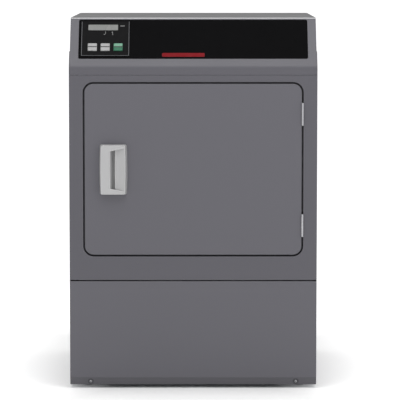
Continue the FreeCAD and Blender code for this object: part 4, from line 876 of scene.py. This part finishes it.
# Each place across, as a share of half the vent, and how far the hood stands out there.
HOOD_PLACES = ((-1.04, 0), (-0.94, 1), (0.94, 1), (1.04, 0))
hoods = bmesh.new()
for side in (-1, 1):
    for row in range(VENT_ROWS):
        base = VENT_LOW + VENT_PITCH * row - HOOD_DROP
        rings = []
        for share_x, share_out in HOOD_PLACES:
            x = side * VENT_X + share_x * VENT_HALF
            ring = []
            for step in range(HOOD_STEPS + 1):
                angle = math.pi / 2 * step / HOOD_STEPS
                out = max(HOOD_LEAST, HOOD_OUT * share_out * math.cos(angle))
                ring.append(hoods.verts.new((x, back_y + out,
                                             base + HOOD_TALL * math.sin(angle))))
            rings.append(ring)
        for first, second in zip(rings, rings[1:]):
            for step in range(HOOD_STEPS):
                hoods.faces.new((first[step], second[step], second[step + 1],
                                 first[step + 1]))
hood_piece = add_piece("rear_louvre_hoods", hoods, zinc, "cabinet")
thick = hood_piece.modifiers.new("sheet", "SOLIDIFY")
thick.thickness = HOOD_SHEET
thick.offset = -1
print("louvres:", VENT_ROWS * 2)

# %% [markdown]
# The tension arm is pulled against the belt by a torsion spring on its pivot: a few coils
# of wire and two straight legs. A curve with a round bevel is the natural way to draw wire.

# %% Torsion spring
COIL_RADIUS, WIRE, COILS, COIL_STEPS, COIL_PITCH = 0.0068, 0.0007, 4, 16, 0.0016
LEG_DOWN, LEG_UP = 0.02, 0.022
PIVOT_X, PIVOT_Z, PIVOT_AHEAD = 0.112, 0.062, 0.0012
arm_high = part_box("idler_arm")[1]
pivot = Vector((PIVOT_X, arm_high.y + PIVOT_AHEAD, PIVOT_Z))
coil = []
for k in range(COILS * COIL_STEPS + 1):
    angle = math.tau * k / COIL_STEPS
    coil.append(Vector((COIL_RADIUS * math.cos(angle), COIL_PITCH * k / COIL_STEPS,
                        COIL_RADIUS * math.sin(angle))))
path = [coil[0] - Vector((0, 0, LEG_DOWN))] + coil + [coil[-1] + Vector((0, 0, LEG_UP))]
wire = bpy.data.curves.new("tension_spring", "CURVE")
wire.dimensions = "3D"
wire.bevel_depth = WIRE
wire.bevel_resolution = 3
line = wire.splines.new("POLY")
line.points.add(len(path) - 1)
for point, spot in zip(line.points, path):
    point.co = (*(pivot + spot), 1)
spring = bpy.data.objects.new("tension_spring", wire)
bpy.context.scene.collection.objects.link(spring)
wire.materials.append(plated.material)
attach(spring, "tension_arm")
print("points along the spring:", len(path))

# %% [markdown]
# Behind the console the circuit board carries two relays, two plugs and three capacitors.
# They are seen only with the console open, but the board would look bare without them.

# %% Parts on the circuit board
BOARD_BACK, BOX_CORNER, BOX_BEVEL = -0.0156, 0.0008, 0.0003
CAN_SHOULDER, CAN_TAPER, CAN_SIDES = 0.001, 0.85, 24
# Across, up, width, height and depth of each relay and plug.
BOARD_BOXES = ((-0.285, 0.060, 0.018, 0.015, 0.013), (-0.262, 0.060, 0.018, 0.015, 0.013),
               (-0.205, 0.120, 0.024, 0.010, 0.009), (-0.240, 0.122, 0.020, 0.010, 0.009))
# Across, up, radius and height of each capacitor.
BOARD_CANS = ((-0.232, 0.066, 0.005, 0.012), (-0.218, 0.070, 0.004, 0.010),
              (-0.270, 0.100, 0.006, 0.013))
board_parts, cans = bmesh.new(), bmesh.new()
for across, up, width, height, deep in BOARD_BOXES:
    plate(rounded_outline(width, height, BOX_CORNER, 2), BOARD_BACK - deep, BOARD_BACK,
          on_slope(across, up, 0), board_parts)
add_piece("board_relays_and_plugs", board_parts, black_moulding, "cabinet",
          BOX_BEVEL)
for across, up, radius, tall in BOARD_CANS:
    profile = [(0, 0), (radius, 0), (radius, tall - CAN_SHOULDER),
               (radius * CAN_TAPER, tall), (0, tall)]
    turned_part(profile, on_slope(across, up, BOARD_BACK) @ Matrix.Rotation(math.pi, 4, "X"),
                cans, CAN_SIDES)
add_piece("board_capacitors", cans, motor_enamel, "cabinet")
print("parts on the board:", len(BOARD_BOXES) + len(BOARD_CANS))

# %% [markdown]
# The floor is one large pale sheet. Away from the dryer it glows faintly, so it stays white
# out of the lamps' reach. The glow fades out towards the dryer, more quickly sideways than
# to the front, so the floor round the dryer is darker partly by the real contact shadow and
# partly by this painted shade. Under the cabinet it only takes light, so the dark gap there
# is real.

# %% Floor
FLOOR_HALF = 150
GLOW, GLOW_START, GLOW_END, SIDE_SPEED = 0.45, 0.35, 0.85, 1.55
floor_data = bpy.data.meshes.new("studio_floor")
floor_data.from_pydata([(x * FLOOR_HALF, y * FLOOR_HALF, 0)
                        for x, y in ((-1, -1), (1, -1), (1, 1), (-1, 1))], [],
                       [(0, 1, 2, 3)])
floor = bpy.data.objects.new("studio_floor", floor_data)
bpy.context.scene.collection.objects.link(floor)
pale_floor = Finish("pale_studio_floor", specular=0.2)
pale_floor.colour(pale_floor.blend(pale_floor.noise(3), tone(244, 244, 244),
                                   tone(246, 246, 246)))
pale_floor.shader.inputs["Roughness"].default_value = 0.6
pale_floor.shader.inputs["Emission Color"].default_value = (1, 1, 1, 1)


def spread(axis, speed):
    """How far a spot lies from the middle along one axis, times a speed."""
    return pale_floor.maths("MULTIPLY", pale_floor.maths("ABSOLUTE", pale_floor.along(axis)),
                            speed)


# The glow's fade near the dryer is painted shade round it.
farther = pale_floor.maths("MAXIMUM", spread("X", SIDE_SPEED), spread("Y", 1.0))
glow = pale_floor.between(farther, 0, GLOW, GLOW_START, GLOW_END)
pale_floor.wire(glow, pale_floor.shader.inputs["Emission Strength"])
floor_data.materials.append(pale_floor.material)
floor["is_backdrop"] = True
print("the floor glows in full", GLOW_END, "m from the middle")

# %% [markdown]
# The light is a white room and two soft panels. The room is brightest near the horizon, so
# that it meets the floor without a seam. One panel hangs high in front, so the sloped
# console and the rounded nose mirror it and stand out brighter than the flat front. The
# other, weaker, is on the right and keeps the sides from going flat.

# %% World and lamps
scene = bpy.context.scene
scene.view_settings.view_transform = "Standard"
world = bpy.data.worlds.new("white_room")
scene.world = world
world.use_nodes = True
room = world.node_tree
sky = room.nodes["Background"]
sky.inputs["Color"].default_value = (1, 1, 1, 1)
HORIZON_GLOW, ROOM_GLOW, GLOW_HEIGHT, ROOM_HEIGHT = 1.0, 0.72, 0.09, 0.16
outward = room.nodes.new("ShaderNodeTexCoord").outputs["Generated"]
upward = room.nodes.new("ShaderNodeSeparateXYZ")
room.links.new(outward, upward.inputs["Vector"])
fade = room.nodes.new("ShaderNodeMapRange")
for key, value in (("From Min", GLOW_HEIGHT), ("From Max", ROOM_HEIGHT),
                   ("To Min", HORIZON_GLOW), ("To Max", ROOM_GLOW)):
    fade.inputs[key].default_value = value
room.links.new(upward.outputs["Z"], fade.inputs["Value"])
room.links.new(fade.outputs["Result"], sky.inputs["Strength"])


def soft_panel(name, spot, aim, width, height, power):
    """A lamp of width by height at a spot, which looks at its aim. Power is in watts."""
    lamp = bpy.data.lights.new(name, "AREA")
    lamp.shape = "RECTANGLE"
    lamp.size, lamp.size_y, lamp.energy = width, height, power
    panel = bpy.data.objects.new(name, lamp)
    panel.location = spot
    direction = Vector(aim) - Vector(spot)
    panel.rotation_euler = direction.to_track_quat("-Z", "Y").to_euler()
    scene.collection.objects.link(panel)


soft_panel("high_front_panel", (0, -1.5, 3.1), (0, -0.3, 0.95), 2.6, 1.3, 42)
soft_panel("right_panel", (3.2, -2.4, 2.0), (0, 0, 0.6), 1.8, 1.8, 20)
print("room light", ROOM_GLOW, "with", HORIZON_GLOW, "at the horizon")

# %% [markdown]
# The camera stands far off with a long lens, a little above the dryer and looking slightly
# down, so the sides stay nearly parallel and the top shows as a narrow strip.

# %% Camera
CAMERA_X, CAMERA_DISTANCE, CAMERA_HEIGHT = 0.0188, 7.0, 1.198
CAMERA_PITCH = math.radians(5.49)
LENS, SENSOR, FAR_LIMIT = 229.509, 36.0, 400
camera_data = bpy.data.cameras.new("view")
camera_data.sensor_width = SENSOR
camera_data.lens = LENS
camera_data.clip_end = FAR_LIMIT
camera = bpy.data.objects.new("view", camera_data)
camera.location = (CAMERA_X, front_y - CAMERA_DISTANCE, CAMERA_HEIGHT)
camera.rotation_euler = (math.pi / 2 - CAMERA_PITCH, 0, 0)
scene.collection.objects.link(camera)
scene.camera = camera
print("lens", round(camera_data.lens, 1), "mm")

# %% [markdown]
# Last, the box of everything that is shown, floor aside, is measured again and printed.

# %% Measure and finish
low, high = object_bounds()
print("box", [round(v, 4) for v in low], [round(v, 4) for v in high])
